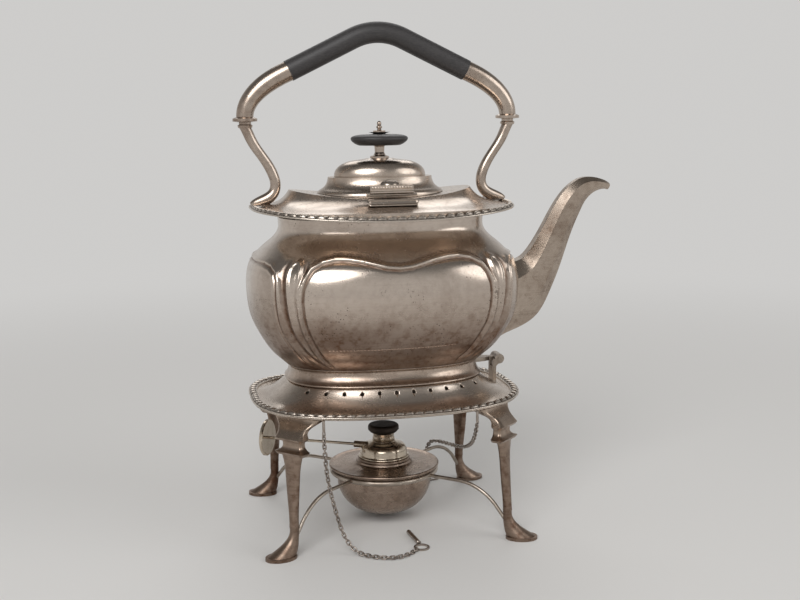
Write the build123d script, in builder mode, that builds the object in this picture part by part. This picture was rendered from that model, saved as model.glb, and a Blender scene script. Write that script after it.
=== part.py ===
from build123d import *
import os
from math import atan2, cos, degrees, hypot, pi, radians, sin, sqrt, tan

os.makedirs("parts", exist_ok=True)

# A spirit kettle on its four-legged stand, with the lamp in a ring below it.
# Sizes are in millimetres. Every outline is set out from the upright centre line of the
# stand, which lies at x = STAND_X so that the whole object's box is centred on the origin.

# Reach of the kettle about the stand's centre line
SPOUT_REACH = 163.5
HANDLE_REACH = 97.5
STAND_X = (HANDLE_REACH - SPOUT_REACH) / 2

# Outlines are cushion ovals: the long half is this much more than the short half, and
# fullness is the exponent of the superellipse that the corners are drawn from
OVAL = 23.0
FULL = 2.95
SLACK = 2.5
CUSHION_POINTS = 32
# Sheet silver, and the least gap between pieces that move past each other
SHEET = 1.5
CLEAR = 0.3

# Stand plate, pierced gallery and its applied border
PLATE_REACH = 92.0
PLATE_UNDER = 87.4
PLATE_SWEEP = 2.6
FLANGE_REACH = 91.0
BORDER_WIDTH = 5.6
BORDER_HEIGHT = 2.4
GALLERY_TOP = 103.0
GALLERY_FOOT_REACH = 84.5
GALLERY_TOP_REACH = 71.5
GALLERY_END_REACH = 71.0
GALLERY_END_SLOPE = 4.5
FIRE_OPENING_REACH = 58.0
VENT_HEIGHT = 100.2
VENT_REACH = 72.8
VENT_RADIUS = 1.15
VENT_COUNT = 32

# Kettle
FOOT_UNDER = GALLERY_TOP + CLEAR
FOOT_REACH = 70.0
FOOT_NECK_REACH = 64.5
BODY_UNDER = 114.5
BELLY_REACH = 91.5
BELLY_HEIGHT = 163.0
NECK_REACH = 69.5
NECK_HEIGHT = 205.0
BODY_TOP = 213.0
LOBE_GROOVE = 2.2
LOBE_RISE = 0.9
PANEL_SHARE = 0.68
SIDE_SHARE = 0.81
RIM_REACH = 88.0
RIM_DEPTH = 68.0
RIM_UNDER = 213.5
RIM_HEIGHT = 3.0
RIM_WIDTH = 5.0
RIM_SWEEP = 5.2
SHELF_REACH = 61.5
SHELF_HEIGHT = 225.5
SHELF_SWEEP = 5.5
MOUTH_REACH = 36.0
MOUTH_DEPTH = 23.5

# Spout
SPOUT_SHEET = 1.2
STRAINER_RADIUS = 11.0
STRAINER_HEIGHT = 150.0

# Fixed handle
GRIP_RADIUS = 7.0
GRIP_APEX = 333.5
GRIP_BEND = 38.0
GRIP_END_REACH = 60.0
GRIP_END_HEIGHT = 308.4
COLLAR_REACH = 89.4
COLLAR_HEIGHT = 272.0

# Lid
LID_REACH = 41.5
LID_DEPTH = 29.0
LID_STEP_HEIGHT = 238.6
LID_STEP_REACH = 35.4
LID_DOME_REACH = 31.0
LID_TOP = 250.6
KNOB_REACH = 19.4
KNOB_DEPTH = 15.0
KNOB_UNDER = 259.8
KNOB_THICKNESS = 8.2
FINIAL_TOP = 275.3

# Lid hinge
LID_HINGE_Y = -40.5
LID_HINGE_HEIGHT = 228.6
LID_HINGE_LENGTH = 33.0
LID_KNUCKLE = 2.1
LID_PIN = 0.8
LID_LEAF_WIDTH = 29.0

# Kettle hinge at the spout end of the stand
HINGE_X = 82.5
HINGE_HEIGHT = 109.3
HINGE_BARREL = 3.4
HINGE_PIN = 1.2
HINGE_WIDTH = 12.0
HINGE_TONGUE = 4.6
RUNNING = 0.05

# Legs, at one corner of the stand; the others mirror it
LEG_TURN = 45.0
ANKLE = (71.0, 64.0)
ANKLE_HEIGHT = 20.0
TOE = (80.0, 66.4)
PAD_LENGTH = 10.5
PAD_WIDTH = 7.6
PAD_EDGE = 2.0

# Lamp ring and its stays
RING_RADIUS = 36.2
RING_WIRE = 1.7
RING_HEIGHT = 34.3
STAY_WIRE = 1.25

# Spirit lamp
LAMP_SEAT = RING_HEIGHT + RING_WIRE + CLEAR
LAMP_FLANGE = 38.5
LAMP_BOWL = 32.6
LAMP_UNDER = 5.4
BOWL_WALL = 1.0
BOWL_BASE = 14.0
BOWL_ROUND_TOP = 26.0
BURNER_STEP = 20.5
BURNER_DOME = 18.2
BURNER_NECK = 13.5
TUBE_BORE = 4.1
TUBE_WALL = 1.1
TUBE_TOP = 62.0
COLLAR_TOP = 60.6
WICK_TOP = 61.0
CAP_RADIUS = 10.8
CAP_TOP = 66.4

# Wick regulator: a rod that passes beside the wick, with a spur wheel and a disc knob
ROD_HEIGHT = 52.0
ROD_TURN = 152.0
ROD_RADIUS = 1.0
WHEEL_RADIUS = 1.9
CARRIER_RADIUS = TUBE_BORE - RUNNING * 3
ROD_OFFSET = CARRIER_RADIUS + WHEEL_RADIUS + RUNNING
KNOB_DISTANCE = 84.0
DISC_RADIUS = 13.0
DISC_THICKNESS = 2.6

# Locking pins and their chains
EYE_X = 50.5
EYE_Y = 63.2
EYE_WIRE = 0.9
CHAIN_WIDTH = 3.0
PIN_RADIUS = 1.6
PIN_LENGTH = 22.0
SPLIT_RING = 4.6
SPLIT_RING_WIRE = 0.6

# Planes that every piece is set out on
FLOOR = Plane(origin=(STAND_X, 0, 0))
FRONT = Plane(origin=(STAND_X, 0, 0), x_dir=(1, 0, 0), z_dir=(0, -1, 0))
SIDE = Plane(origin=(STAND_X, 0, 0), x_dir=(0, 1, 0), z_dir=(1, 0, 0))
UPRIGHT = Axis((STAND_X, 0, 0), (0, 0, 1))


def ellipse(height, reach, depth):
    """An oval face at a height, with its own half length and half depth."""
    with BuildSketch(FLOOR.offset(height)) as section:
        Ellipse(reach, depth)
    return section.sketch


def cushion(height, reach, depth, fullness):
    """A cushion oval: a superellipse, whose corners fill out as fullness grows from 2."""
    points = []
    for step in range(CUSHION_POINTS):
        turn = 2 * pi * step / CUSHION_POINTS
        size = (abs(cos(turn)) ** fullness + abs(sin(turn)) ** fullness) ** (1 / fullness)
        points.append((reach * cos(turn) / size, depth * sin(turn) / size))
    with BuildSketch(FLOOR.offset(height)) as section:
        with BuildLine():
            Spline(*points, periodic=True)
        make_face()
    return section.sketch


def oval(height, reach, fullness=SLACK):
    """A cushion oval on the proportions that every level of the kettle and stand shares."""
    return cushion(height, reach, reach - OVAL, fullness)


def below_arc(height, sweep, reach):
    """The space under a long arc that is lowest in the middle and rises by sweep at reach."""
    far = 2 * reach
    rise = height + sweep * (far / reach) ** 2
    with BuildPart() as space:
        with BuildSketch(FRONT) as profile:
            with BuildLine():
                ThreePointArc((-far, rise), (0, height), (far, rise))
                Polyline((far, rise), (far, 0), (-far, 0), (-far, rise))
            make_face()
        extrude(amount=far, both=True)
    return space.part


def disc_on(x, z, turn, radius):
    """A round face square to a path in the long upright plane, heading turn degrees up."""
    heading = Vector(cos(radians(turn)), 0, sin(radians(turn)))
    with BuildSketch(Plane(origin=(STAND_X + x, 0, z), x_dir=(0, 1, 0), z_dir=heading)) as section:
        Circle(radius)
    return section.sketch


# Stand plate: one sheet with a flat flange, sloping pierced walls and steep ends

GALLERY_RISE = (
    (PLATE_UNDER + SHEET, GALLERY_FOOT_REACH, FULL),
    (92.4, 79.0, 2.8),
    (96.6, 74.6, 2.6),
    (GALLERY_TOP, GALLERY_TOP_REACH, SLACK),
)
under_plate = below_arc(PLATE_UNDER, PLATE_SWEEP, PLATE_REACH)
over_plate = below_arc(PLATE_UNDER + SHEET, PLATE_SWEEP, PLATE_REACH)
over_border = below_arc(PLATE_UNDER + SHEET + BORDER_HEIGHT, PLATE_SWEEP, PLATE_REACH)


def end_limits(height, reach):
    """A wide face whose two ends are gentle arcs, which limits the length of the gallery."""
    corner = reach - 5.0
    with BuildSketch(FLOOR.offset(height)) as section:
        with BuildLine():
            ThreePointArc((corner, 30), (reach, 0), (corner, -30))
            Polyline((corner, -30), (corner - 4, -90), (-corner + 4, -90), (-corner, -30))
            ThreePointArc((-corner, -30), (-reach, 0), (-corner, 30))
            Polyline((-corner, 30), (-corner + 4, 90), (corner - 4, 90), (corner, 30))
        make_face()
    return section.sketch


def gallery_form(inset):
    """The raised middle of the plate as a solid, drawn in by the sheet for its inside."""
    low = PLATE_UNDER + SHEET - inset
    high = GALLERY_TOP - inset
    with BuildPart() as form:
        loft(sections=[oval(z - inset, reach - inset, full) for z, reach, full in GALLERY_RISE])
        with BuildPart(mode=Mode.INTERSECT):
            loft(sections=[
                end_limits(low, GALLERY_END_REACH - inset),
                end_limits(high, GALLERY_END_REACH - inset - GALLERY_END_SLOPE),
            ], ruled=True)
    return form.part


with BuildPart() as stand_plate:
    extrude(oval(PLATE_UNDER, FLANGE_REACH, FULL), amount=12)
    add(over_plate, mode=Mode.INTERSECT)
    add(under_plate, mode=Mode.SUBTRACT)
    add(gallery_form(0))
    add(gallery_form(SHEET), mode=Mode.SUBTRACT)
    extrude(oval(GALLERY_TOP - 5, FIRE_OPENING_REACH), amount=10, mode=Mode.SUBTRACT)
    vent_line = oval(VENT_HEIGHT, VENT_REACH).faces()[0].outer_wire()
    for vent in range(VENT_COUNT):
        place = (vent + 0.5) / VENT_COUNT
        spot = vent_line @ place
        out = (vent_line % place).cross(Vector(0, 0, 1))
        if abs(spot.X - STAND_X) < GALLERY_END_REACH - 9:
            with BuildSketch(Plane(origin=spot, z_dir=Vector(out.X, out.Y, 0.6))):
                Circle(VENT_RADIUS)
            extrude(amount=3 * SHEET, both=True, mode=Mode.SUBTRACT)
stand_plate.part.label = "stand_plate"
export_step(stand_plate.part, "parts/stand_plate.step")

with BuildPart() as plate_border:
    extrude(oval(PLATE_UNDER, PLATE_REACH, FULL), amount=12)
    add(over_border, mode=Mode.INTERSECT)
    add(over_plate, mode=Mode.SUBTRACT)
    extrude(oval(PLATE_UNDER, PLATE_REACH - BORDER_WIDTH, FULL), amount=12, mode=Mode.SUBTRACT)
    chamfer(plate_border.faces().sort_by(Axis.Z)[-1].edges(), BORDER_HEIGHT * 0.38)
plate_border.part.label = "plate_border"
export_step(plate_border.part, "parts/plate_border.step")


# Legs: a winged bracket, two moulded ledges, a tapering shaft and a pad foot

def leg_plane(height, outward, tangent):
    """A level plane turned to the leg's corner, with x along its face and y outwards."""
    turn = radians(LEG_TURN)
    x = outward * cos(turn) + tangent * sin(turn)
    y = outward * sin(turn) - tangent * cos(turn)
    return Plane(
        origin=(STAND_X + x, -y, height),
        x_dir=(sin(turn), cos(turn), 0),
        z_dir=(0, 0, 1),
    )


def leg_block(height, outward, tangent, width, thickness):
    """A level section of the leg, set by the place of its front face."""
    with BuildSketch(leg_plane(height, outward - thickness / 2, tangent)) as section:
        RectangleRounded(width, thickness, min(width, thickness) * 0.3)
    return section.sketch


def leg_round(height, outward, tangent, width, thickness):
    """A level oval section of the leg's shaft, set by its centre."""
    with BuildSketch(leg_plane(height, outward, tangent)) as section:
        Ellipse(width / 2, thickness / 2)
    return section.sketch


LEDGE_1 = 77.0
LEDGE_2 = 67.8
LEDGE_THICK = 1.6
NECK_TOP = LEDGE_1 - LEDGE_THICK
SHAFT_TOP = LEDGE_2 - LEDGE_THICK
ANKLE_OUT = (ANKLE[0] * cos(radians(LEG_TURN)) + ANKLE[1] * sin(radians(LEG_TURN)))
ANKLE_ALONG = (ANKLE[0] * sin(radians(LEG_TURN)) - ANKLE[1] * cos(radians(LEG_TURN)))
TOE_TURN = -degrees(atan2(TOE[1] - ANKLE[1], TOE[0] - ANKLE[0]))

with BuildPart() as leg_front_right:
    loft(sections=[
        leg_block(PLATE_UNDER + PLATE_SWEEP, 83.4, 11.8, 38.5, 12.0),
        leg_block(PLATE_UNDER - 2.0, 85.0, 11.2, 31.0, 9.5),
        leg_block(LEDGE_1 + 4.0, 91.0, 10.0, 21.0, 7.5),
        leg_block(LEDGE_1, 95.4, 9.0, 23.0, 9.5),
    ])
    add(under_plate, mode=Mode.INTERSECT)
    loft(sections=[
        leg_block(LEDGE_1, 95.4, 9.0, 23.0, 9.5),
        leg_block(NECK_TOP, 94.4, 9.0, 21.0, 8.5),
    ], ruled=True)
    loft(sections=[
        leg_block(NECK_TOP, 92.4, 9.0, 16.5, 6.5),
        leg_block(LEDGE_2 + 3.0, 91.6, 9.0, 15.5, 6.0),
        leg_block(LEDGE_2, 95.4, 8.8, 24.0, 9.5),
    ])
    loft(sections=[
        leg_block(LEDGE_2, 95.4, 8.8, 24.0, 9.5),
        leg_block(SHAFT_TOP, 94.4, 8.8, 21.5, 8.5),
    ], ruled=True)
    loft(sections=[
        leg_round(SHAFT_TOP, 90.6, 8.8, 17.0, 6.6),
        leg_round(56.0, 91.4, 8.2, 11.8, 5.4),
        leg_round(40.0, 92.8, 7.2, 9.0, 5.6),
        leg_round(30.0, 94.2, 6.0, 7.0, 5.8),
        leg_round(ANKLE_HEIGHT, ANKLE_OUT, ANKLE_ALONG, 6.4, 6.0),
    ])
    foot_sections = []
    for height, along, long_half, wide_half in (
        (ANKLE_HEIGHT, 0.0, 3.1, 3.1),
        (12.0, 0.12, 3.9, 3.5),
        (6.6, 0.48, 6.6, 5.0),
        (PAD_EDGE, 0.96, PAD_LENGTH - 1.0, PAD_WIDTH - 1.0),
    ):
        x = ANKLE[0] + along * (TOE[0] - ANKLE[0])
        y = ANKLE[1] + along * (TOE[1] - ANKLE[1])
        with BuildSketch(Plane(origin=(STAND_X + x, -y, height)), mode=Mode.PRIVATE) as section:
            Ellipse(long_half, wide_half, rotation=TOE_TURN)
        foot_sections.append(section.sketch)
    loft(sections=foot_sections)
    with BuildSketch(Plane(origin=(STAND_X + TOE[0], -TOE[1], 0))):
        Ellipse(PAD_LENGTH, PAD_WIDTH, rotation=TOE_TURN)
    extrude(amount=PAD_EDGE)

CENTRE_ACROSS = Plane(origin=(STAND_X, 0, 0), x_dir=(0, 1, 0), z_dir=(1, 0, 0))

with BuildPart() as leg_front_left:
    mirror(leg_front_right.part, about=CENTRE_ACROSS)

with BuildPart() as leg_back_right:
    mirror(leg_front_right.part, about=Plane.XZ)

with BuildPart() as leg_back_left:
    mirror(leg_front_left.part, about=Plane.XZ)

legs = {
    "front_right": leg_front_right,
    "front_left": leg_front_left,
    "back_right": leg_back_right,
    "back_left": leg_back_left,
}
for corner_name, leg in legs.items():
    leg.part.label = "leg_" + corner_name
    export_step(leg.part, "parts/leg_" + corner_name + ".step")


# Lamp ring and the four bent stays that carry it from the ankles

with BuildPart() as lamp_ring:
    with BuildSketch(FRONT):
        with Locations((RING_RADIUS, RING_HEIGHT)):
            Circle(RING_WIRE)
    revolve(axis=UPRIGHT)
lamp_ring.part.label = "lamp_ring"
export_step(lamp_ring.part, "parts/lamp_ring.step")

STAY_TURN = degrees(atan2(ANKLE[1], ANKLE[0]))
STAY_STRAIGHT = 58.0
STAY_DROP = (88.0, 20.0)
STAY_END = 8.5

stays = {}
for corner_name, turn in (
    ("front_right", -STAY_TURN),
    ("front_left", STAY_TURN - 180),
    ("back_right", STAY_TURN),
    ("back_left", 180 - STAY_TURN),
):
    out = (cos(radians(turn)), sin(radians(turn)), 0)
    across = (sin(radians(turn)), -cos(radians(turn)), 0)
    with BuildPart() as stay:
        with BuildLine(Plane(origin=(STAND_X, 0, 0), x_dir=out, z_dir=across)) as bent:
            straight = Line((RING_RADIUS, RING_HEIGHT), (STAY_STRAIGHT, RING_HEIGHT))
            bend = TangentArc(straight @ 1, STAY_DROP, tangent=straight % 1)
            Line(bend @ 1, (bend @ 1) + (bend % 1) * STAY_END)
        with BuildSketch(Plane(origin=bent.line @ 0, z_dir=bent.line % 0)):
            Circle(STAY_WIRE)
        sweep(path=bent.line)
        add(lamp_ring.part, mode=Mode.SUBTRACT)
        add(legs[corner_name].part, mode=Mode.SUBTRACT)
        kept = stay.solids().sort_by(SortBy.VOLUME)[-1]
    with BuildPart() as stay:
        add(kept)
    stays[corner_name] = stay
    stay.part.label = "stay_" + corner_name
    export_step(stay.part, "parts/stay_" + corner_name + ".step")


# Kettle hinge: a post on the stand, a forked arm on the kettle and the pin between them

POST_X = 79.0
POST_THICK = 2.2
KNUCKLE_GAP = 0.25

with BuildPart() as hinge_post:
    with BuildSketch(SIDE.offset(POST_X - POST_THICK / 2)):
        with BuildLine():
            half = HINGE_WIDTH / 2
            Polyline((-half - 1.2, PLATE_UNDER), (half + 1.2, PLATE_UNDER),
                     (half, PLATE_UNDER + 7.0), (half, HINGE_HEIGHT),
                     (-half, HINGE_HEIGHT), (-half, PLATE_UNDER + 7.0), close=True)
        make_face()
    extrude(amount=POST_THICK)
    add(over_plate, mode=Mode.SUBTRACT)
    with BuildSketch(FRONT.offset(-HINGE_WIDTH / 2)):
        with BuildLine():
            Polyline((POST_X - POST_THICK / 2, HINGE_HEIGHT - 5.0), (POST_X + POST_THICK / 2, HINGE_HEIGHT - 5.0),
                     (HINGE_X, HINGE_HEIGHT - HINGE_BARREL + 0.4), (HINGE_X, HINGE_HEIGHT),
                     (POST_X - POST_THICK / 2, HINGE_HEIGHT), close=True)
        make_face()
    extrude(amount=HINGE_WIDTH)
    with BuildSketch(FRONT.offset(-HINGE_WIDTH / 2)):
        with Locations((HINGE_X, HINGE_HEIGHT)):
            Circle(HINGE_BARREL)
    extrude(amount=HINGE_WIDTH)
    with BuildSketch(FRONT.offset(-HINGE_TONGUE / 2 - KNUCKLE_GAP)):
        with Locations((HINGE_X - 4.0, HINGE_HEIGHT + 1.0)):
            Rectangle(20.0, 2 * HINGE_BARREL + 6.4)
    extrude(amount=HINGE_TONGUE + 2 * KNUCKLE_GAP, mode=Mode.SUBTRACT)
    with BuildSketch(FRONT.offset(-HINGE_WIDTH)):
        with Locations((HINGE_X, HINGE_HEIGHT)):
            Circle(HINGE_PIN)
    extrude(amount=2 * HINGE_WIDTH, mode=Mode.SUBTRACT)
hinge_post.part.label = "hinge_post"
export_step(hinge_post.part, "parts/hinge_post.step")

with BuildPart() as hinge_pin:
    with BuildSketch(FRONT.offset(-HINGE_WIDTH / 2 - 0.6)):
        with Locations((HINGE_X, HINGE_HEIGHT)):
            Circle(HINGE_PIN)
    extrude(amount=HINGE_WIDTH + 1.2)
hinge_pin.part.label = "hinge_pin"
export_step(hinge_pin.part, "parts/hinge_pin.step")


# Kettle foot: a spreading oval ring that stands on the gallery

with BuildPart() as kettle_foot:
    loft(sections=[
        oval(FOOT_UNDER, FOOT_REACH),
        oval(FOOT_UNDER + 1.4, FOOT_REACH - 0.8),
        oval(FOOT_UNDER + 4.0, FOOT_NECK_REACH + 1.0),
        oval(BODY_UNDER - 2.5, FOOT_NECK_REACH),
        oval(BODY_UNDER, FOOT_NECK_REACH + 1.0),
    ])
    extrude(oval(FOOT_UNDER, FOOT_NECK_REACH - 2 * SHEET), amount=BODY_UNDER - FOOT_UNDER, mode=Mode.SUBTRACT)
kettle_foot.part.label = "kettle_foot"
export_step(kettle_foot.part, "parts/kettle_foot.step")


# Kettle body: a full oval belly with broad front and back panels, side panels and
# a rounded lobe at each corner, all fading out towards the neck and the foot

BODY_LEVELS = (
    (BODY_UNDER, 67.0, 0.0, SLACK),
    (124.0, 76.8, 0.5, 2.6),
    (134.0, 83.4, 0.85, 2.7),
    (147.0, 89.4, 1.0, 2.8),
    (BELLY_HEIGHT, BELLY_REACH, 1.0, 2.85),
    (175.0, 91.0, 1.0, 2.85),
    (184.0, 88.0, 0.85, 2.8),
    (192.5, 80.6, 0.5, 2.65),
    (199.5, 72.8, 0.1, SLACK),
    (NECK_HEIGHT, NECK_REACH, 0.0, SLACK),
    (BODY_TOP, NECK_REACH, 0.0, SLACK),
)


def body_section(height, reach, fade, fullness):
    """One level of the body: broad front and end panels, and a lobe between creases at each corner."""
    depth = reach - OVAL
    crease = LOBE_GROOVE * fade

    def on_oval(share, pull):
        x = reach * share
        y = depth * (1 - share**fullness) ** (1 / fullness)
        shrink = 1 - pull / hypot(x, y)
        return x * shrink, y * shrink

    panel = on_oval(PANEL_SHARE, crease)
    side = on_oval(SIDE_SHARE, crease)
    lobe = on_oval((PANEL_SHARE + SIDE_SHARE) / 2, -LOBE_RISE * fade)
    with BuildSketch(FLOOR.offset(height)) as section:
        with BuildLine():
            for sign in (-1, 1):
                ThreePointArc((-panel[0], sign * panel[1]), (0, sign * depth), (panel[0], sign * panel[1]))
                ThreePointArc((sign * side[0], -side[1]), (sign * reach, 0), (sign * side[0], side[1]))
                for flip in (-1, 1):
                    ThreePointArc(
                        (flip * panel[0], sign * panel[1]),
                        (flip * lobe[0], sign * lobe[1]),
                        (flip * side[0], sign * side[1]),
                    )
        make_face()
    return section.sketch


body_form = loft(sections=[body_section(*level) for level in BODY_LEVELS])
body_hollow = loft(sections=[
    body_section(max(z, BODY_UNDER + SHEET) + (0.5 if z == BODY_TOP else 0.0), reach - SHEET, fade, full)
    for z, reach, fade, full in BODY_LEVELS
])

with BuildPart() as kettle_body:
    add(body_form)
    add(body_hollow, mode=Mode.SUBTRACT)
    with BuildSketch(SIDE.offset(BELLY_REACH - 30)):
        with Locations((0, STRAINER_HEIGHT)):
            Circle(STRAINER_RADIUS)
    extrude(amount=60, mode=Mode.SUBTRACT)
kettle_body.part.label = "kettle_body"
export_step(kettle_body.part, "parts/kettle_body.step")


# Kettle top: an oval roof with a swept-up rim, a recessed shelf and the filling mouth

ROOF_LEVELS = (
    (232.0, SHELF_REACH, 29.0, 2.1),
    (226.5, 65.0, 37.5, 2.3),
    (222.5, 70.5, 44.5, 2.5),
    (220.4, 78.0, 53.0, 2.75),
    (218.8, 86.5, 62.0, FULL),
    (216.4, 95.0, 71.0, FULL),
    (RIM_UNDER - 1.0, 104.0, 80.0, FULL),
)
roof_form = loft(sections=[cushion(*level) for level in reversed(ROOF_LEVELS)])
under_rim = below_arc(RIM_UNDER, RIM_SWEEP, RIM_REACH)
over_rim = below_arc(RIM_UNDER + RIM_HEIGHT, RIM_SWEEP, RIM_REACH)
under_shelf = below_arc(SHELF_HEIGHT, SHELF_SWEEP, SHELF_REACH)
ROOF_EDGE = RIM_REACH - RIM_WIDTH
roof_limit = extrude(cushion(RIM_UNDER - 2, ROOF_EDGE, RIM_DEPTH - RIM_WIDTH, FULL), amount=30)

with BuildPart() as kettle_top:
    add(roof_form)
    add(roof_limit, mode=Mode.INTERSECT)
    add(under_rim, mode=Mode.SUBTRACT)
    add(under_shelf, mode=Mode.INTERSECT)
    loft(sections=[
        oval(RIM_UNDER - 2, NECK_REACH - SHEET),
        cushion(219.0, 62.0, 38.0, SLACK),
        cushion(SHELF_HEIGHT - SHEET, 57.0, 31.0, 2.2),
    ], mode=Mode.SUBTRACT)
    extrude(ellipse(SHELF_HEIGHT - 5, MOUTH_REACH, MOUTH_DEPTH), amount=15, mode=Mode.SUBTRACT)
    add(kettle_body.part, mode=Mode.SUBTRACT)
kettle_top.part.label = "kettle_top"
export_step(kettle_top.part, "parts/kettle_top.step")

with BuildPart() as rim_border:
    extrude(cushion(RIM_UNDER - 1, RIM_REACH, RIM_DEPTH, FULL), amount=12)
    add(roof_limit, mode=Mode.SUBTRACT)
    add(under_rim, mode=Mode.SUBTRACT)
    add(over_rim, mode=Mode.INTERSECT)
rim_border.part.label = "rim_border"
export_step(rim_border.part, "parts/rim_border.step")


# Spout: a faceted swan neck, lofted hollow and cut to the body

SPOUT_PATH = (
    (64.0, 144.5, 0.0, 28.0, 17.5),
    (76.8, 148.3, 10.0, 24.0, 17.0),
    (84.5, 151.6, 20.0, 23.0, 16.0),
    (99.0, 158.6, 31.0, 21.4, 13.8),
    (108.4, 167.0, 41.0, 16.0, 11.8),
    (116.5, 180.0, 52.0, 12.6, 9.8),
    (123.2, 194.5, 60.0, 10.6, 8.6),
    (129.7, 208.4, 60.0, 9.6, 7.8),
    (134.9, 217.3, 50.0, 9.0, 7.2),
    (139.9, 223.8, 40.0, 8.0, 6.7),
    (145.3, 227.8, 26.0, 7.0, 6.1),
    (151.2, 229.4, 6.0, 5.4, 5.4),
    (157.6, 229.4, -14.0, 3.6, 4.6),
    (SPOUT_REACH - 0.4, 227.8, -20.0, 2.3, 3.6),
)


def spout_section(x, z, turn, high_half, wide_half):
    """An eight-sided section square to the spout, with narrow faces on top and below."""
    heading = Vector(cos(radians(turn)), 0, sin(radians(turn)))
    with BuildSketch(Plane(origin=(STAND_X + x, 0, z), x_dir=(0, 1, 0), z_dir=heading)) as section:
        crown = 0.42 * wide_half
        waist = 0.45 * high_half
        with BuildLine():
            Polyline(
                (crown, high_half), (-crown, high_half), (-wide_half, waist), (-wide_half, -waist),
                (-crown, -high_half), (crown, -high_half), (wide_half, -waist), (wide_half, waist),
                close=True,
            )
        make_face()
    return section.sketch


with BuildPart() as spout:
    loft(sections=[spout_section(*station) for station in SPOUT_PATH])
    loft(sections=[
        spout_section(x, z, turn, high - SPOUT_SHEET, wide - SPOUT_SHEET)
        for x, z, turn, high, wide in SPOUT_PATH
    ], mode=Mode.SUBTRACT)
    add(body_form, mode=Mode.SUBTRACT)
    kept = spout.solids().sort_by(SortBy.VOLUME)[-1]
with BuildPart() as spout:
    add(kept)
spout.part.label = "spout"
export_step(spout.part, "parts/spout.step")


# Forked hinge arm, from the neck of the kettle foot to the hinge barrel

ARM_THICK = 2.8
ARM_ROOT_WIDTH = 15.0

with BuildPart() as hinge_arm:
    with BuildSketch(FLOOR.offset(HINGE_HEIGHT - ARM_THICK / 2)):
        with BuildLine():
            root = ARM_ROOT_WIDTH / 2
            tongue = HINGE_TONGUE / 2
            shoulder = HINGE_X - HINGE_BARREL - 3.0
            Polyline((FOOT_NECK_REACH - 3, root), (shoulder - 4.0, tongue + 2.0), (shoulder, tongue),
                     (HINGE_X, tongue), (HINGE_X, -tongue), (shoulder, -tongue),
                     (shoulder - 4.0, -tongue - 2.0), (FOOT_NECK_REACH - 3, -root), close=True)
        make_face()
    extrude(amount=ARM_THICK)
    with BuildSketch(FRONT.offset(-HINGE_TONGUE / 2)):
        with Locations((HINGE_X, HINGE_HEIGHT)):
            Circle(HINGE_BARREL)
    extrude(amount=HINGE_TONGUE)
    with BuildSketch(FRONT.offset(-HINGE_WIDTH)):
        with Locations((HINGE_X, HINGE_HEIGHT)):
            Circle(HINGE_PIN + RUNNING)
    extrude(amount=2 * HINGE_WIDTH, mode=Mode.SUBTRACT)
    add(kettle_foot.part, mode=Mode.SUBTRACT)
    kept = hinge_arm.solids().sort_by(SortBy.VOLUME)[-1]
with BuildPart() as hinge_arm:
    add(kept)
hinge_arm.part.label = "hinge_arm"
export_step(hinge_arm.part, "parts/hinge_arm.step")


# Handle: two bent arms on scroll feet, collars, tapering sockets and a dark wooden grip

ARM_PATH = (
    (-87.2, 221.2, 20.0, 1.8),
    (-83.6, 222.6, 18.0, 3.1),
    (-79.2, 224.0, 22.0, 3.8),
    (-74.8, 226.2, 40.0, 3.9),
    (-71.6, 230.0, 68.0, 3.6),
    (-70.6, 235.0, 90.0, 3.5),
    (-72.0, 241.0, 106.0, 3.5),
    (-75.2, 247.6, 115.0, 3.4),
    (-80.8, 256.0, 118.0, 3.3),
    (-86.6, 266.0, 110.0, 3.5),
    (-COLLAR_REACH, COLLAR_HEIGHT, 90.0, 3.9),
)
SOCKET_PATH = (
    (-COLLAR_REACH, COLLAR_HEIGHT + 7.0, 90.0, 5.6),
    (-87.6, 286.5, 74.0, 5.9),
    (-82.7, 293.6, 56.0, 6.2),
    (-73.6, 301.2, 36.0, 6.5),
    (-GRIP_END_REACH, GRIP_END_HEIGHT, 26.0, 6.6),
)
FOOT_PAD_TOP = 221.6
FOOT_PAD_PLACE = Location((-77.0, 0, 0))
COLLAR_PROFILE = ((COLLAR_HEIGHT, 4.0), (COLLAR_HEIGHT + 3.4, 3.9), (COLLAR_HEIGHT + 5.0, 5.2))

with BuildPart() as handle_arm_left:
    loft(sections=[disc_on(x, z, turn, radius) for x, z, turn, radius in ARM_PATH])
    loft(sections=[
        cushion(FOOT_PAD_TOP - 8.0, 12.0, 7.4, SLACK).moved(FOOT_PAD_PLACE),
        cushion(FOOT_PAD_TOP - 1.0, 11.0, 6.6, SLACK).moved(FOOT_PAD_PLACE),
        cushion(FOOT_PAD_TOP, 9.4, 5.2, SLACK).moved(FOOT_PAD_PLACE),
    ])
    add(roof_form, mode=Mode.SUBTRACT)
    add(over_rim, mode=Mode.SUBTRACT)
    kept = handle_arm_left.solids().sort_by(SortBy.VOLUME)[-1]
with BuildPart() as handle_arm_left:
    add(kept)

with BuildPart() as handle_collar_left:
    with BuildSketch(FRONT):
        with BuildLine():
            Polyline(
                (-COLLAR_REACH, COLLAR_HEIGHT), (-COLLAR_REACH - 4.6, COLLAR_HEIGHT),
                (-COLLAR_REACH - 5.0, COLLAR_HEIGHT + 1.6), (-COLLAR_REACH - 4.0, COLLAR_HEIGHT + 2.2),
                (-COLLAR_REACH - 4.0, COLLAR_HEIGHT + 3.6),
                (COLLAR_REACH - HANDLE_REACH - COLLAR_REACH, COLLAR_HEIGHT + 4.2),
                (COLLAR_REACH - HANDLE_REACH - COLLAR_REACH, COLLAR_HEIGHT + 6.0),
                (-COLLAR_REACH - 5.6, COLLAR_HEIGHT + 7.0), (-COLLAR_REACH, COLLAR_HEIGHT + 7.0), close=True,
            )
        make_face()
    revolve(axis=Axis((STAND_X - COLLAR_REACH, 0, 0), (0, 0, 1)))

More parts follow.
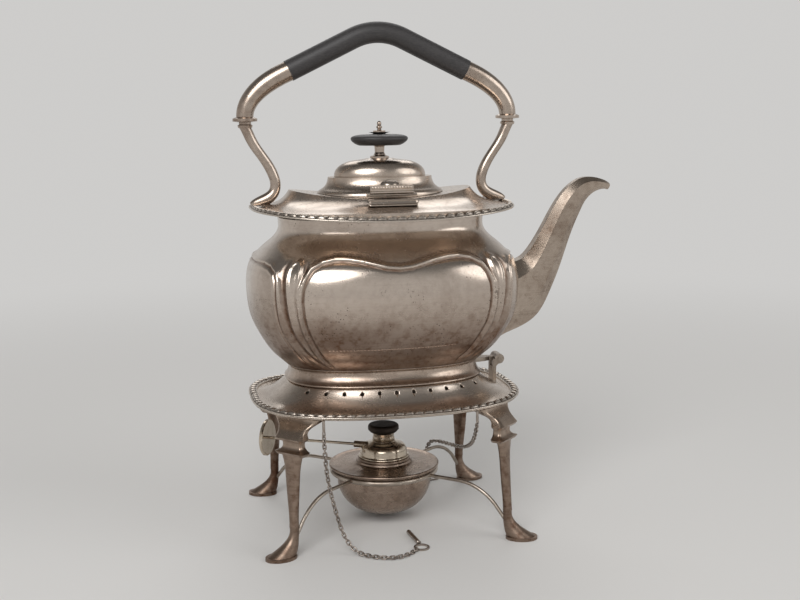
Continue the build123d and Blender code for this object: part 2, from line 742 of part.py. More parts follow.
with BuildPart() as handle_socket_left:
    loft(sections=[disc_on(x, z, turn, radius) for x, z, turn, radius in SOCKET_PATH])

for left, node in (
    (handle_arm_left, "handle_arm"),
    (handle_collar_left, "handle_collar"),
    (handle_socket_left, "handle_socket"),
):
    with BuildPart() as right:
        mirror(left.part, about=CENTRE_ACROSS)
        add(kettle_top.part, mode=Mode.SUBTRACT)
    left.part.label = node + "_left"
    right.part.label = node + "_right"
    export_step(left.part, "parts/" + node + "_left.step")
    export_step(right.part, "parts/" + node + "_right.step")

GRIP_CORNER = GRIP_END_HEIGHT + GRIP_END_REACH * tan(radians(26.0))

with BuildPart() as handle_grip:
    with BuildLine(FRONT) as grip_line:
        FilletPolyline(
            (-GRIP_END_REACH, GRIP_END_HEIGHT), (0, GRIP_CORNER), (GRIP_END_REACH, GRIP_END_HEIGHT),
            radius=GRIP_BEND,
        )
    with BuildSketch(Plane(origin=grip_line.line @ 0, z_dir=grip_line.line % 0)):
        Circle(GRIP_RADIUS)
    sweep(path=grip_line.line)
handle_grip.part.label = "handle_grip"
export_step(handle_grip.part, "parts/handle_grip.step")


# Lid: a stepped oval cover with a domed top, its hinge, and a dark knob under a small finial

LID_RISE = (
    (SHELF_HEIGHT - 2.0, LID_REACH + 1.0, LID_DEPTH + 1.0),
    (229.8, LID_REACH, LID_DEPTH),
    (232.0, 38.2, 25.8),
    (235.5, 36.0, 23.6),
    (LID_STEP_HEIGHT, LID_STEP_REACH, 23.0),
)
DOME_RISE = (
    (LID_STEP_HEIGHT - 0.4, LID_DOME_REACH, 19.4),
    (242.5, 30.4, 19.0),
    (246.4, 26.6, 16.8),
    (249.2, 18.6, 12.2),
    (LID_TOP, 9.0, 6.6),
)
lid_seat = below_arc(SHELF_HEIGHT + CLEAR, SHELF_SWEEP, SHELF_REACH)

with BuildPart() as lid_shell:
    loft(sections=[ellipse(z, reach, depth) for z, reach, depth in LID_RISE])
    loft(sections=[ellipse(z, reach, depth) for z, reach, depth in DOME_RISE])
    loft(sections=[ellipse(z - SHEET, reach - SHEET, depth - SHEET) for z, reach, depth in LID_RISE],
         mode=Mode.SUBTRACT)
    loft(sections=[ellipse(z - SHEET, reach - SHEET, depth - SHEET) for z, reach, depth in DOME_RISE],
         mode=Mode.SUBTRACT)
    add(lid_seat, mode=Mode.SUBTRACT)
    with BuildSketch(FLOOR.offset(SHELF_HEIGHT - 4.0)):
        Ellipse(MOUTH_REACH - 2 * CLEAR, MOUTH_DEPTH - 2 * CLEAR)
        Ellipse(MOUTH_REACH - 2 * CLEAR - SHEET, MOUTH_DEPTH - 2 * CLEAR - SHEET, mode=Mode.SUBTRACT)
    extrude(amount=LID_STEP_HEIGHT - SHEET - SHELF_HEIGHT + 3.0)
lid_shell.part.label = "lid_shell"
export_step(lid_shell.part, "parts/lid_shell.step")

HINGE_HALF = LID_HINGE_LENGTH / 2
LID_TONGUE = 5.7
LEAF_UNDER = LID_HINGE_HEIGHT + LID_KNUCKLE + 0.4
LEAF_THICK = 1.8
HINGE_AXIS_PLANE = Plane(
    origin=(STAND_X, LID_HINGE_Y, LID_HINGE_HEIGHT), x_dir=(0, 1, 0), z_dir=(1, 0, 0),
)

with BuildPart() as lid_hinge_leaf:
    with BuildSketch(FLOOR.offset(LEAF_UNDER)):
        with Locations((0, (LID_HINGE_Y - 1.5 - LID_DEPTH + 6.0) / 2)):
            Rectangle(LID_LEAF_WIDTH, LID_DEPTH - 6.0 - LID_HINGE_Y - 1.5 - 2 * (LID_DEPTH - 6.0) + 3.0)
    extrude(amount=LEAF_THICK)
    with BuildSketch(HINGE_AXIS_PLANE.offset(-LID_TONGUE)):
        Circle(LID_KNUCKLE)
        with Locations((0, LID_KNUCKLE / 2 + 0.2)):
            Rectangle(LID_KNUCKLE * 1.5, LID_KNUCKLE + 0.5)
    extrude(amount=2 * LID_TONGUE)
    with BuildSketch(HINGE_AXIS_PLANE.offset(-LID_TONGUE)):
        Circle(LID_PIN + RUNNING)
    extrude(amount=2 * LID_TONGUE, mode=Mode.SUBTRACT)
    loft(sections=[ellipse(z, reach, depth) for z, reach, depth in LID_RISE], mode=Mode.SUBTRACT)
lid_hinge_leaf.part.label = "lid_hinge_leaf"
export_step(lid_hinge_leaf.part, "parts/lid_hinge_leaf.step")

BOX_FRONT = 9.5
BOX_UNDER = 6.0

with BuildPart() as lid_hinge_box:
    with BuildSketch(HINGE_AXIS_PLANE.offset(-HINGE_HALF)):
        Circle(LID_KNUCKLE)
        with BuildLine():
            Polyline(
                (0, LID_KNUCKLE * 0.1), (0, -LID_KNUCKLE), (LID_KNUCKLE, -LID_KNUCKLE), (6.0, -9.0), (-4.0, -9.0),
                (-BOX_FRONT, -BOX_UNDER), (-BOX_FRONT, -3.8), (-LID_KNUCKLE - 1.8, -3.2),
                (-LID_KNUCKLE / 2, -LID_KNUCKLE * 0.75), close=True,
            )
        make_face()
    extrude(amount=LID_HINGE_LENGTH)
    with BuildSketch(HINGE_AXIS_PLANE.offset(-LID_TONGUE - 2 * RUNNING)):
        with Locations((0, LID_KNUCKLE)):
            Rectangle(2 * LID_KNUCKLE + 1.2, 4 * LID_KNUCKLE + 0.8)
    extrude(amount=2 * LID_TONGUE + 4 * RUNNING, mode=Mode.SUBTRACT)
    with BuildSketch(HINGE_AXIS_PLANE.offset(-HINGE_HALF)):
        Circle(LID_PIN)
    extrude(amount=LID_HINGE_LENGTH, mode=Mode.SUBTRACT)
    add(kettle_top.part, mode=Mode.SUBTRACT)
    kept = lid_hinge_box.solids().sort_by(SortBy.VOLUME)[-1]
with BuildPart() as lid_hinge_box:
    add(kept)
lid_hinge_box.part.label = "lid_hinge_box"
export_step(lid_hinge_box.part, "parts/lid_hinge_box.step")

with BuildPart() as lid_hinge_pin:
    with BuildSketch(HINGE_AXIS_PLANE.offset(-HINGE_HALF)):
        Circle(LID_PIN)
    extrude(amount=LID_HINGE_LENGTH)
lid_hinge_pin.part.label = "lid_hinge_pin"
export_step(lid_hinge_pin.part, "parts/lid_hinge_pin.step")

with BuildPart() as knob_stem:
    with BuildSketch(FRONT):
        with BuildLine():
            Polyline((0, LID_TOP), (6.4, LID_TOP), (6.4, LID_TOP + 1.3), (4.0, LID_TOP + 2.2),
                     (3.2, LID_TOP + 4.0), (3.4, KNOB_UNDER - 1.5), (5.0, KNOB_UNDER), (0, KNOB_UNDER), close=True)
        make_face()
    revolve(axis=UPRIGHT)
knob_stem.part.label = "knob_stem"
export_step(knob_stem.part, "parts/knob_stem.step")

with BuildPart() as lid_knob:
    loft(sections=[
        ellipse(KNOB_UNDER, KNOB_REACH - 6.5, KNOB_DEPTH - 6.0),
        ellipse(KNOB_UNDER + 1.6, KNOB_REACH - 1.4, KNOB_DEPTH - 1.2),
        ellipse(KNOB_UNDER + 3.6, KNOB_REACH, KNOB_DEPTH),
        ellipse(KNOB_UNDER + 6.0, KNOB_REACH - 2.8, KNOB_DEPTH - 2.6),
        ellipse(KNOB_UNDER + KNOB_THICKNESS, KNOB_REACH - 12.0, KNOB_DEPTH - 9.5),
    ])
lid_knob.part.label = "lid_knob"
export_step(lid_knob.part, "parts/lid_knob.step")

KNOB_TOP = KNOB_UNDER + KNOB_THICKNESS
FINIAL = FINIAL_TOP - KNOB_TOP

with BuildPart() as knob_finial:
    with BuildSketch(FRONT):
        with BuildLine():
            Polyline((0, KNOB_TOP), (4.2, KNOB_TOP), (4.2, KNOB_TOP + 0.9), (1.5, KNOB_TOP + 1.5), (1.1, KNOB_TOP + 2.2))
            ThreePointArc((1.1, KNOB_TOP + 2.2), (2.0, KNOB_TOP + 3.2), (1.1, KNOB_TOP + 4.2))
            ThreePointArc((1.1, KNOB_TOP + 4.2), (1.5, KNOB_TOP + 5.4), (0.6, FINIAL_TOP))
            Polyline((0.6, FINIAL_TOP), (0, FINIAL_TOP), (0, KNOB_TOP))
        make_face()
    revolve(axis=UPRIGHT)
knob_finial.part.label = "knob_finial"
export_step(knob_finial.part, "parts/knob_finial.step")


# Spirit lamp: a spun bowl under a wide cover, with the burner's stepped dome and wick tube

inner_bowl = LAMP_BOWL - BOWL_WALL
bowl_floor = LAMP_UNDER + BOWL_WALL
with BuildPart() as lamp_bowl:
    with BuildSketch(FRONT):
        with BuildLine():
            Line((0, LAMP_UNDER), (BOWL_BASE, LAMP_UNDER))
            ThreePointArc((BOWL_BASE, LAMP_UNDER), (LAMP_BOWL - 6.0, LAMP_UNDER + 7.4), (LAMP_BOWL, BOWL_ROUND_TOP))
            Line((LAMP_BOWL, BOWL_ROUND_TOP), (LAMP_BOWL, LAMP_SEAT))
            Line((LAMP_BOWL, LAMP_SEAT), (inner_bowl, LAMP_SEAT))
            Line((inner_bowl, LAMP_SEAT), (inner_bowl, BOWL_ROUND_TOP))
            ThreePointArc((inner_bowl, BOWL_ROUND_TOP), (inner_bowl - 5.7, bowl_floor + 7.1),
                          (BOWL_BASE, bowl_floor))
            Line((BOWL_BASE, bowl_floor), (0, bowl_floor))
            Line((0, bowl_floor), (0, LAMP_UNDER))
        make_face()
    revolve(axis=UPRIGHT)
lamp_bowl.part.label = "lamp_bowl"
export_step(lamp_bowl.part, "parts/lamp_bowl.step")

STEP_UNDER = LAMP_SEAT + 3.0
STEP_TOP = STEP_UNDER + 4.0

with BuildPart() as lamp_cover:
    with BuildSketch(FRONT):
        with BuildLine():
            Polyline((TUBE_BORE + TUBE_WALL, LAMP_SEAT), (LAMP_FLANGE - 0.8, LAMP_SEAT))
            ThreePointArc((LAMP_FLANGE - 0.8, LAMP_SEAT), (LAMP_FLANGE, LAMP_SEAT + 0.9),
                          (LAMP_FLANGE - 0.8, LAMP_SEAT + 1.8))
            Polyline((LAMP_FLANGE - 0.8, LAMP_SEAT + 1.8), (LAMP_FLANGE - 2.0, LAMP_SEAT + 1.4),
                     (BURNER_STEP + 0.6, STEP_UNDER - 0.6), (BURNER_STEP, STEP_UNDER + 0.4),
                     (BURNER_STEP, STEP_UNDER + 1.8), (BURNER_STEP - 0.9, STEP_UNDER + 2.4),
                     (BURNER_STEP - 0.9, STEP_TOP), (TUBE_BORE + TUBE_WALL, STEP_TOP),
                     (TUBE_BORE + TUBE_WALL, LAMP_SEAT))
        make_face()
    revolve(axis=UPRIGHT)
lamp_cover.part.label = "lamp_cover"
export_step(lamp_cover.part, "parts/lamp_cover.step")

DOME_SHOULDER = 49.4
DOME_TOP = 55.4

ROD_HEADING = Vector(cos(radians(ROD_TURN)), sin(radians(ROD_TURN)), 0)
ROD_SIDE = Vector(-sin(radians(ROD_TURN)), cos(radians(ROD_TURN)), 0)
ROD_CENTRE = Vector(STAND_X, 0, ROD_HEIGHT) + ROD_SIDE * ROD_OFFSET


def rod_plane(distance):
    """A plane square to the regulator rod, at a distance along it from beside the wick."""
    return Plane(origin=ROD_CENTRE + ROD_HEADING * distance, x_dir=ROD_SIDE, z_dir=ROD_HEADING)


with BuildPart() as burner_dome:
    with BuildSketch(FRONT):
        with BuildLine():
            Polyline((BURNER_DOME - 1.2, STEP_TOP), (BURNER_DOME, STEP_TOP), (BURNER_DOME, 46.0))
            ThreePointArc((BURNER_DOME, 46.0), (BURNER_DOME - 1.2, 48.6), (BURNER_DOME - 3.6, DOME_SHOULDER))
            Line((BURNER_DOME - 3.6, DOME_SHOULDER), (BURNER_NECK, DOME_SHOULDER + 0.6))
            ThreePointArc((BURNER_NECK, DOME_SHOULDER + 0.6), (9.6, 52.0), (TUBE_BORE + TUBE_WALL + 2.4, DOME_TOP))
            Polyline((TUBE_BORE + TUBE_WALL + 2.4, DOME_TOP), (TUBE_BORE + TUBE_WALL, DOME_TOP),
                     (TUBE_BORE + TUBE_WALL, DOME_TOP - 1.4), (BURNER_NECK - 2.6, DOME_SHOULDER - 0.6),
                     (BURNER_DOME - 1.2, 45.4), (BURNER_DOME - 1.2, STEP_TOP))
        make_face()
    revolve(axis=UPRIGHT)
    with BuildSketch(rod_plane(0)):
        Circle(ROD_RADIUS + 4 * RUNNING)
    extrude(amount=LAMP_FLANGE, mode=Mode.SUBTRACT)
    with BuildSketch(rod_plane(-1.6)):
        Circle(WHEEL_RADIUS + 0.35)
    extrude(amount=3.2, mode=Mode.SUBTRACT)
burner_dome.part.label = "burner_dome"
export_step(burner_dome.part, "parts/burner_dome.step")

with BuildPart() as wick_tube:
    with BuildSketch(FRONT):
        with BuildLine():
            bore = TUBE_BORE
            wall = TUBE_BORE + TUBE_WALL
            Polyline((bore, LAMP_SEAT - 2.0), (wall, LAMP_SEAT - 2.0), (wall, DOME_TOP), (wall + 2.0, DOME_TOP),
                     (wall + 2.6, DOME_TOP + 1.2), (wall + 2.0, DOME_TOP + 2.6), (wall + 2.4, COLLAR_TOP - 0.8),
                     (wall + 2.0, COLLAR_TOP), (wall, COLLAR_TOP), (wall, TUBE_TOP), (bore, TUBE_TOP), close=True)
        make_face()
    revolve(axis=UPRIGHT)
    with BuildSketch(rod_plane(-1.6)):
        Circle(WHEEL_RADIUS + 0.35)
    extrude(amount=3.2, mode=Mode.SUBTRACT)
wick_tube.part.label = "wick_tube"
export_step(wick_tube.part, "parts/wick_tube.step")

with BuildPart() as regulator_gland:
    with BuildSketch(rod_plane(10.0)):
        Circle(2.3)
        Circle(ROD_RADIUS + RUNNING, mode=Mode.SUBTRACT)
    extrude(amount=9.5)
    add(burner_dome.part, mode=Mode.SUBTRACT)
    with BuildSketch(FLOOR.offset(STEP_TOP)):
        Circle(BURNER_DOME - 1.2)
    extrude(amount=DOME_SHOULDER - STEP_TOP - 0.4, mode=Mode.SUBTRACT)
    kept = regulator_gland.solids().sort_by(SortBy.VOLUME)[-1]
with BuildPart() as regulator_gland:
    add(kept)
regulator_gland.part.label = "regulator_gland"
export_step(regulator_gland.part, "parts/regulator_gland.step")

with BuildPart() as regulator_rod:
    with BuildSketch(rod_plane(-0.8)):
        Circle(ROD_RADIUS)
    extrude(amount=KNOB_DISTANCE + 0.8)
    with BuildSketch(rod_plane(-0.8)):
        Circle(WHEEL_RADIUS)
        with PolarLocations(WHEEL_RADIUS, 8):
            Circle(0.35, mode=Mode.SUBTRACT)
    extrude(amount=1.6)
regulator_rod.part.label = "regulator_rod"
export_step(regulator_rod.part, "parts/regulator_rod.step")

with BuildPart() as regulator_knob:
    with BuildSketch(rod_plane(KNOB_DISTANCE)):
        Circle(DISC_RADIUS)
    extrude(amount=DISC_THICKNESS)
    chamfer(regulator_knob.edges(), 0.6)
regulator_knob.part.label = "regulator_knob"
export_step(regulator_knob.part, "parts/regulator_knob.step")

WICK_RADIUS = 3.1

with BuildPart() as wick_carrier:
    with BuildSketch(FLOOR.offset(ROD_HEIGHT - 7.0)):
        Circle(CARRIER_RADIUS)
        Circle(WICK_RADIUS, mode=Mode.SUBTRACT)
    extrude(amount=13.0)
wick_carrier.part.label = "wick_carrier"
export_step(wick_carrier.part, "parts/wick_carrier.step")

with BuildPart() as wick:
    with BuildSketch(FLOOR.offset(LAMP_UNDER + 3.0)):
        Circle(WICK_RADIUS)
    extrude(amount=WICK_TOP - LAMP_UNDER - 3.0)
wick.part.label = "wick"
export_step(wick.part, "parts/wick.step")

with BuildPart() as snuffer_cap:
    with BuildSketch(FRONT):
        with BuildLine():
            inner = TUBE_BORE + TUBE_WALL + CLEAR
            under = COLLAR_TOP + CLEAR
            Polyline((inner, under), (CAP_RADIUS - 1.6, under), (CAP_RADIUS, under + 1.8), (CAP_RADIUS, CAP_TOP - 1.8))
            ThreePointArc((CAP_RADIUS, CAP_TOP - 1.8), (CAP_RADIUS - 0.7, CAP_TOP - 0.5), (CAP_RADIUS - 2.4, CAP_TOP))
            Polyline((CAP_RADIUS - 2.4, CAP_TOP), (0, CAP_TOP), (0, CAP_TOP - 1.1), (inner, CAP_TOP - 1.1),
                     (inner, under))
        make_face()
    revolve(axis=UPRIGHT)
snuffer_cap.part.label = "snuffer_cap"
export_step(snuffer_cap.part, "parts/snuffer_cap.step")


# Locking pins: each hangs by a chain from an eye under the plate. The front one lies on
# the table; the other chain is drawn back over a stay, with its pin on the table behind.

CHAIN_LEFT = (
    (-EYE_X, -EYE_Y, 80.5), (-50.3, -63.8, 62.0), (-47.8, -64.8, 43.0), (-43.6, -65.8, 25.6),
    (-39.6, -67.4, 11.6), (-32.0, -71.6, 1.5), (-21.0, -81.6, 1.5), (-8.6, -85.4, 1.5),
    (2.0, -80.4, 1.5), (8.0, -73.0, 1.5),
)
CHAIN_RIGHT = (
    (EYE_X, -EYE_Y, 80.5), (52.2, -52.0, 67.0), (53.0, -34.0, 56.0), (52.6, -12.0, 49.0),
    (49.6, 10.0, 45.4), (45.8, 27.0, 43.2), (42.0, 39.6, 39.8), (40.8, 47.6, 27.6),
    (40.8, 50.6, 13.0), (43.2, 58.0, 1.5), (49.2, 67.6, 1.5),
)


def chain_tube(points):
    """A chain's free length as a round tube: straight runs joined by arcs as large as they allow."""
    corners = [Vector(STAND_X + x, y, z) for x, y, z in points]
    radii = []
    for before, here, after in zip(corners, corners[1:], corners[2:]):
        turn = radians((here - before).get_angle(after - here))
        shorter = min((here - before).length, (after - here).length)
        radii.append(0.45 * shorter / tan(turn / 2))
    print("chain bend radii", [round(radius, 1) for radius in radii])
    with BuildPart() as tube:
        with BuildLine() as route:
            FilletPolyline(*corners, radius=radii)
        with BuildSketch(Plane(origin=route.line @ 0, z_dir=route.line % 0)):
            Circle(CHAIN_WIDTH / 2)
        sweep(path=route.line)
    length = sum(edge.length for edge in route.edges())
    section = pi * (CHAIN_WIDTH / 2) ** 2
    print("chain length", round(length, 1), "volume share", round(tube.part.volume / (section * length), 4))
    return tube


for side, sign, points in (("left", -1, CHAIN_LEFT), ("right", 1, CHAIN_RIGHT)):
    hang = Vector(STAND_X + points[0][0], points[0][1], points[0][2])
    with BuildPart() as chain_eye:
        with BuildSketch(Plane(origin=hang)):
            Circle(EYE_WIRE)
        extrude(amount=PLATE_UNDER + PLATE_SWEEP - hang.Z)
        add(under_plate, mode=Mode.INTERSECT)
    chain_eye.part.label = "chain_eye_" + side
    export_step(chain_eye.part, "parts/chain_eye_" + side + ".step")

    lock_chain = chain_tube(points)
    lock_chain.part.label = "lock_chain_" + side
    export_step(lock_chain.part, "parts/lock_chain_" + side + ".step")

    last = Vector(STAND_X + points[-1][0], points[-1][1], points[-1][2])
    heading = (last - Vector(STAND_X + points[-2][0], points[-2][1], points[-2][2])).normalized()
    ring_centre = last + heading * (SPLIT_RING + SPLIT_RING_WIRE)
    with BuildPart() as pin_ring:
        with BuildSketch(Plane(origin=(ring_centre.X, ring_centre.Y, SPLIT_RING_WIRE))):
            Circle(SPLIT_RING + SPLIT_RING_WIRE)
            Circle(SPLIT_RING - SPLIT_RING_WIRE, mode=Mode.SUBTRACT)
        extrude(amount=SPLIT_RING_WIRE, both=True)
    pin_ring.part.label = "pin_ring_" + side
    export_step(pin_ring.part, "parts/pin_ring_" + side + ".step")

    pin_turn = radians(96.0 if side == "left" else 128.0)
    pin_heading = Vector(cos(pin_turn), sin(pin_turn), 0)
    pin_start = ring_centre + pin_heading * (SPLIT_RING + SPLIT_RING_WIRE + CLEAR)
    with BuildPart() as lock_pin:
        with BuildSketch(Plane(origin=(pin_start.X, pin_start.Y, PIN_RADIUS), z_dir=pin_heading)):
            Circle(PIN_RADIUS)
        extrude(amount=PIN_LENGTH)
        chamfer(lock_pin.edges(), 0.4)
    lock_pin.part.label = "lock_pin_" + side
    export_step(lock_pin.part, "parts/lock_pin_" + side + ".step")
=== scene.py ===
import bpy
import bmesh
from math import atan2, cos, exp, floor, hypot, pi, radians, sin
from mathutils import Matrix, Vector


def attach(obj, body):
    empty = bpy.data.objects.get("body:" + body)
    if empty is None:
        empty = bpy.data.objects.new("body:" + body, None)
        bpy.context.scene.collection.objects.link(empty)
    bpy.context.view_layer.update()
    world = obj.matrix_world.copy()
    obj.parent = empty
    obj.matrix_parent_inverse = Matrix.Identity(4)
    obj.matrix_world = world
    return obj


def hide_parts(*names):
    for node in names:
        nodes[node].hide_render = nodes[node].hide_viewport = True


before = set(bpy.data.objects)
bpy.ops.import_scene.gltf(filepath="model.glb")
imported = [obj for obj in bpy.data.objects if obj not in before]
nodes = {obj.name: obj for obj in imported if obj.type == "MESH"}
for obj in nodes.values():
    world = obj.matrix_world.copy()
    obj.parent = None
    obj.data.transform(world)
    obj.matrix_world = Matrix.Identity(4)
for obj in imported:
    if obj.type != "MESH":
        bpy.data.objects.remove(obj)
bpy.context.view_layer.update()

# The camera stands where the photographer stood, a little to the left of the kettle and
# above its rim. The kettle and its stand are set out about an upright line at x = MIDDLE.
MIDDLE = -0.033
VIEW_AZIMUTH, VIEW_ELEVATION, VIEW_ROLL = radians(-11.39), radians(9.18), radians(-0.69)
VIEW_TARGET = Vector((0.00942 + MIDDLE, 0.0, 0.15334))
VIEW_DISTANCE = 0.79783
VIEW_LENS, VIEW_SENSOR, VIEW_SHIFT = 52.145, 36.0, 0.00625
camera = bpy.data.objects.new("camera", bpy.data.cameras.new("camera"))
bpy.context.scene.collection.objects.link(camera)
bpy.context.scene.camera = camera
camera.data.lens = VIEW_LENS
camera.data.sensor_width = VIEW_SENSOR
camera.data.shift_x = VIEW_SHIFT
camera.data.clip_start = 0.02
back = Vector((sin(VIEW_AZIMUTH) * cos(VIEW_ELEVATION), -cos(VIEW_AZIMUTH) * cos(VIEW_ELEVATION),
               sin(VIEW_ELEVATION)))
level = Vector((cos(VIEW_AZIMUTH), sin(VIEW_AZIMUTH), 0))
upright = back.cross(level)
right = cos(VIEW_ROLL) * level + sin(VIEW_ROLL) * upright
above = cos(VIEW_ROLL) * upright - sin(VIEW_ROLL) * level
camera.matrix_world = Matrix.Translation(VIEW_TARGET + back * VIEW_DISTANCE) @ Matrix((
    (right.x, above.x, back.x, 0), (right.y, above.y, back.y, 0), (right.z, above.z, back.z, 0),
    (0, 0, 0, 1)))


# Locking pins on their chains: oval links of drawn silver wire, closed one through the
# next. Each chain hangs from an eye under the plate and ends in a ring with a plain pin;
# one lies on the table in front, the other is drawn back over a stay of the lamp ring.
LINK_WIRE = 0.00048
LINK_REACH = 0.00230
LINK_HALF = 0.00158
LINK_PITCH = 0.00268
LINK_LEAN, LINK_WOBBLE = radians(45), radians(9)
chain_routes = {
    "left": ((-50.5, -63.2, 80.5), (-50.3, -63.8, 62.0), (-47.8, -64.8, 43.0), (-43.6, -65.8, 25.6),
             (-39.6, -67.4, 11.6), (-32.0, -71.6, 1.5), (-21.0, -81.6, 1.5), (-8.6, -85.4, 1.5),
             (2.0, -80.4, 1.5), (8.0, -73.0, 1.5)),
    "right": ((50.5, -63.2, 80.5), (52.2, -52.0, 67.0), (53.0, -34.0, 56.0), (52.6, -12.0, 49.0),
              (49.6, 10.0, 45.4), (45.8, 27.0, 43.2), (42.0, 39.6, 39.8), (40.8, 47.6, 27.6),
              (40.8, 50.6, 13.0), (43.2, 58.0, 1.5), (49.2, 67.6, 1.5)),
}


def keep_mesh(name, bm, smooth=True):
    """Makes an object of a bmesh, at the origin, with smooth or flat faces."""
    mesh = bpy.data.meshes.new(name)
    bm.to_mesh(mesh)
    bm.free()
    for face in mesh.polygons:
        face.use_smooth = smooth
    obj = bpy.data.objects.new(name, mesh)
    bpy.context.scene.collection.objects.link(obj)
    return obj


def read_route(points):
    """The smooth centre line of a chain, as a list of points read from its NURBS spline."""
    curve = bpy.data.curves.new("route", "CURVE")
    curve.dimensions = "3D"
    spline = curve.splines.new("NURBS")
    spline.points.add(len(points) - 1)
    for point, (x, y, z) in zip(spline.points, points):
        point.co = (MIDDLE + x / 1000, y / 1000, z / 1000, 1)
    spline.order_u = 3
    spline.use_endpoint_u = True
    spline.resolution_u = 12
    holder = bpy.data.objects.new("route", curve)
    bpy.context.scene.collection.objects.link(holder)
    line = bpy.data.meshes.new_from_object(holder)
    route = [vertex.co.copy() for vertex in line.vertices]
    bpy.data.objects.remove(holder)
    return route


def along(route, distance):
    """The place and heading at a distance along a list of points."""
    for a, b in zip(route, route[1:]):
        step = (b - a).length
        if distance <= step or b is route[-1]:
            return a + (b - a) * (distance / max(step, 1e-9)), (b - a).normalized()
        distance -= step


link_form = bmesh.new()
bmesh.ops.create_circle(link_form, segments=8, radius=LINK_WIRE)
bmesh.ops.rotate(link_form, verts=link_form.verts, cent=(0, 0, 0), matrix=Matrix.Rotation(pi / 2, 3, "X"))
bmesh.ops.translate(link_form, verts=link_form.verts, vec=(LINK_HALF - LINK_WIRE, 0, 0))
bmesh.ops.spin(link_form, geom=link_form.edges[:] + link_form.verts[:], cent=(0, 0, 0), axis=(0, 0, 1),
               angle=2 * pi, steps=14, use_merge=True)
bmesh.ops.remove_doubles(link_form, verts=link_form.verts, dist=1e-6)
for vertex in link_form.verts:
    if abs(vertex.co.x) > 1e-5:
        vertex.co.x += (LINK_REACH - LINK_HALF) * (1 if vertex.co.x > 0 else -1)
bmesh.ops.recalc_face_normals(link_form, faces=link_form.faces)
link_mesh = bpy.data.meshes.new("one_link")
link_form.to_mesh(link_mesh)
link_form.free()

chains = {}
for side, points in chain_routes.items():
    route = read_route(points)
    length = sum((b - a).length for a, b in zip(route, route[1:]))
    count = int(length / LINK_PITCH)
    bm = bmesh.new()
    for number in range(count):
        spot, heading = along(route, (number + 0.5) * length / count)
        across = Vector((0, 0, 1)).cross(heading)
        across = across.normalized() if across.length > 0.05 else Vector((1, 0, 0))
        over = heading.cross(across)
        lean = LINK_LEAN * (1 if number % 2 else -1) + LINK_WOBBLE * sin(number * 1.7)
        side_way = across * cos(lean) + over * sin(lean)
        up_way = heading.cross(side_way)
        place = Matrix((
            (heading.x, side_way.x, up_way.x, spot.x), (heading.y, side_way.y, up_way.y, spot.y),
            (heading.z, side_way.z, up_way.z, spot.z), (0, 0, 0, 1)))
        known = set(bm.verts)
        bm.from_mesh(link_mesh)
        bmesh.ops.transform(bm, verts=[v for v in bm.verts if v not in known], matrix=place)
    chains[side] = keep_mesh("lock_chain_links_" + side, bm)
    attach(chains[side], "stand")
    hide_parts("lock_chain_" + side)
    tuple(route[0])
    [tuple(p) for p in route]


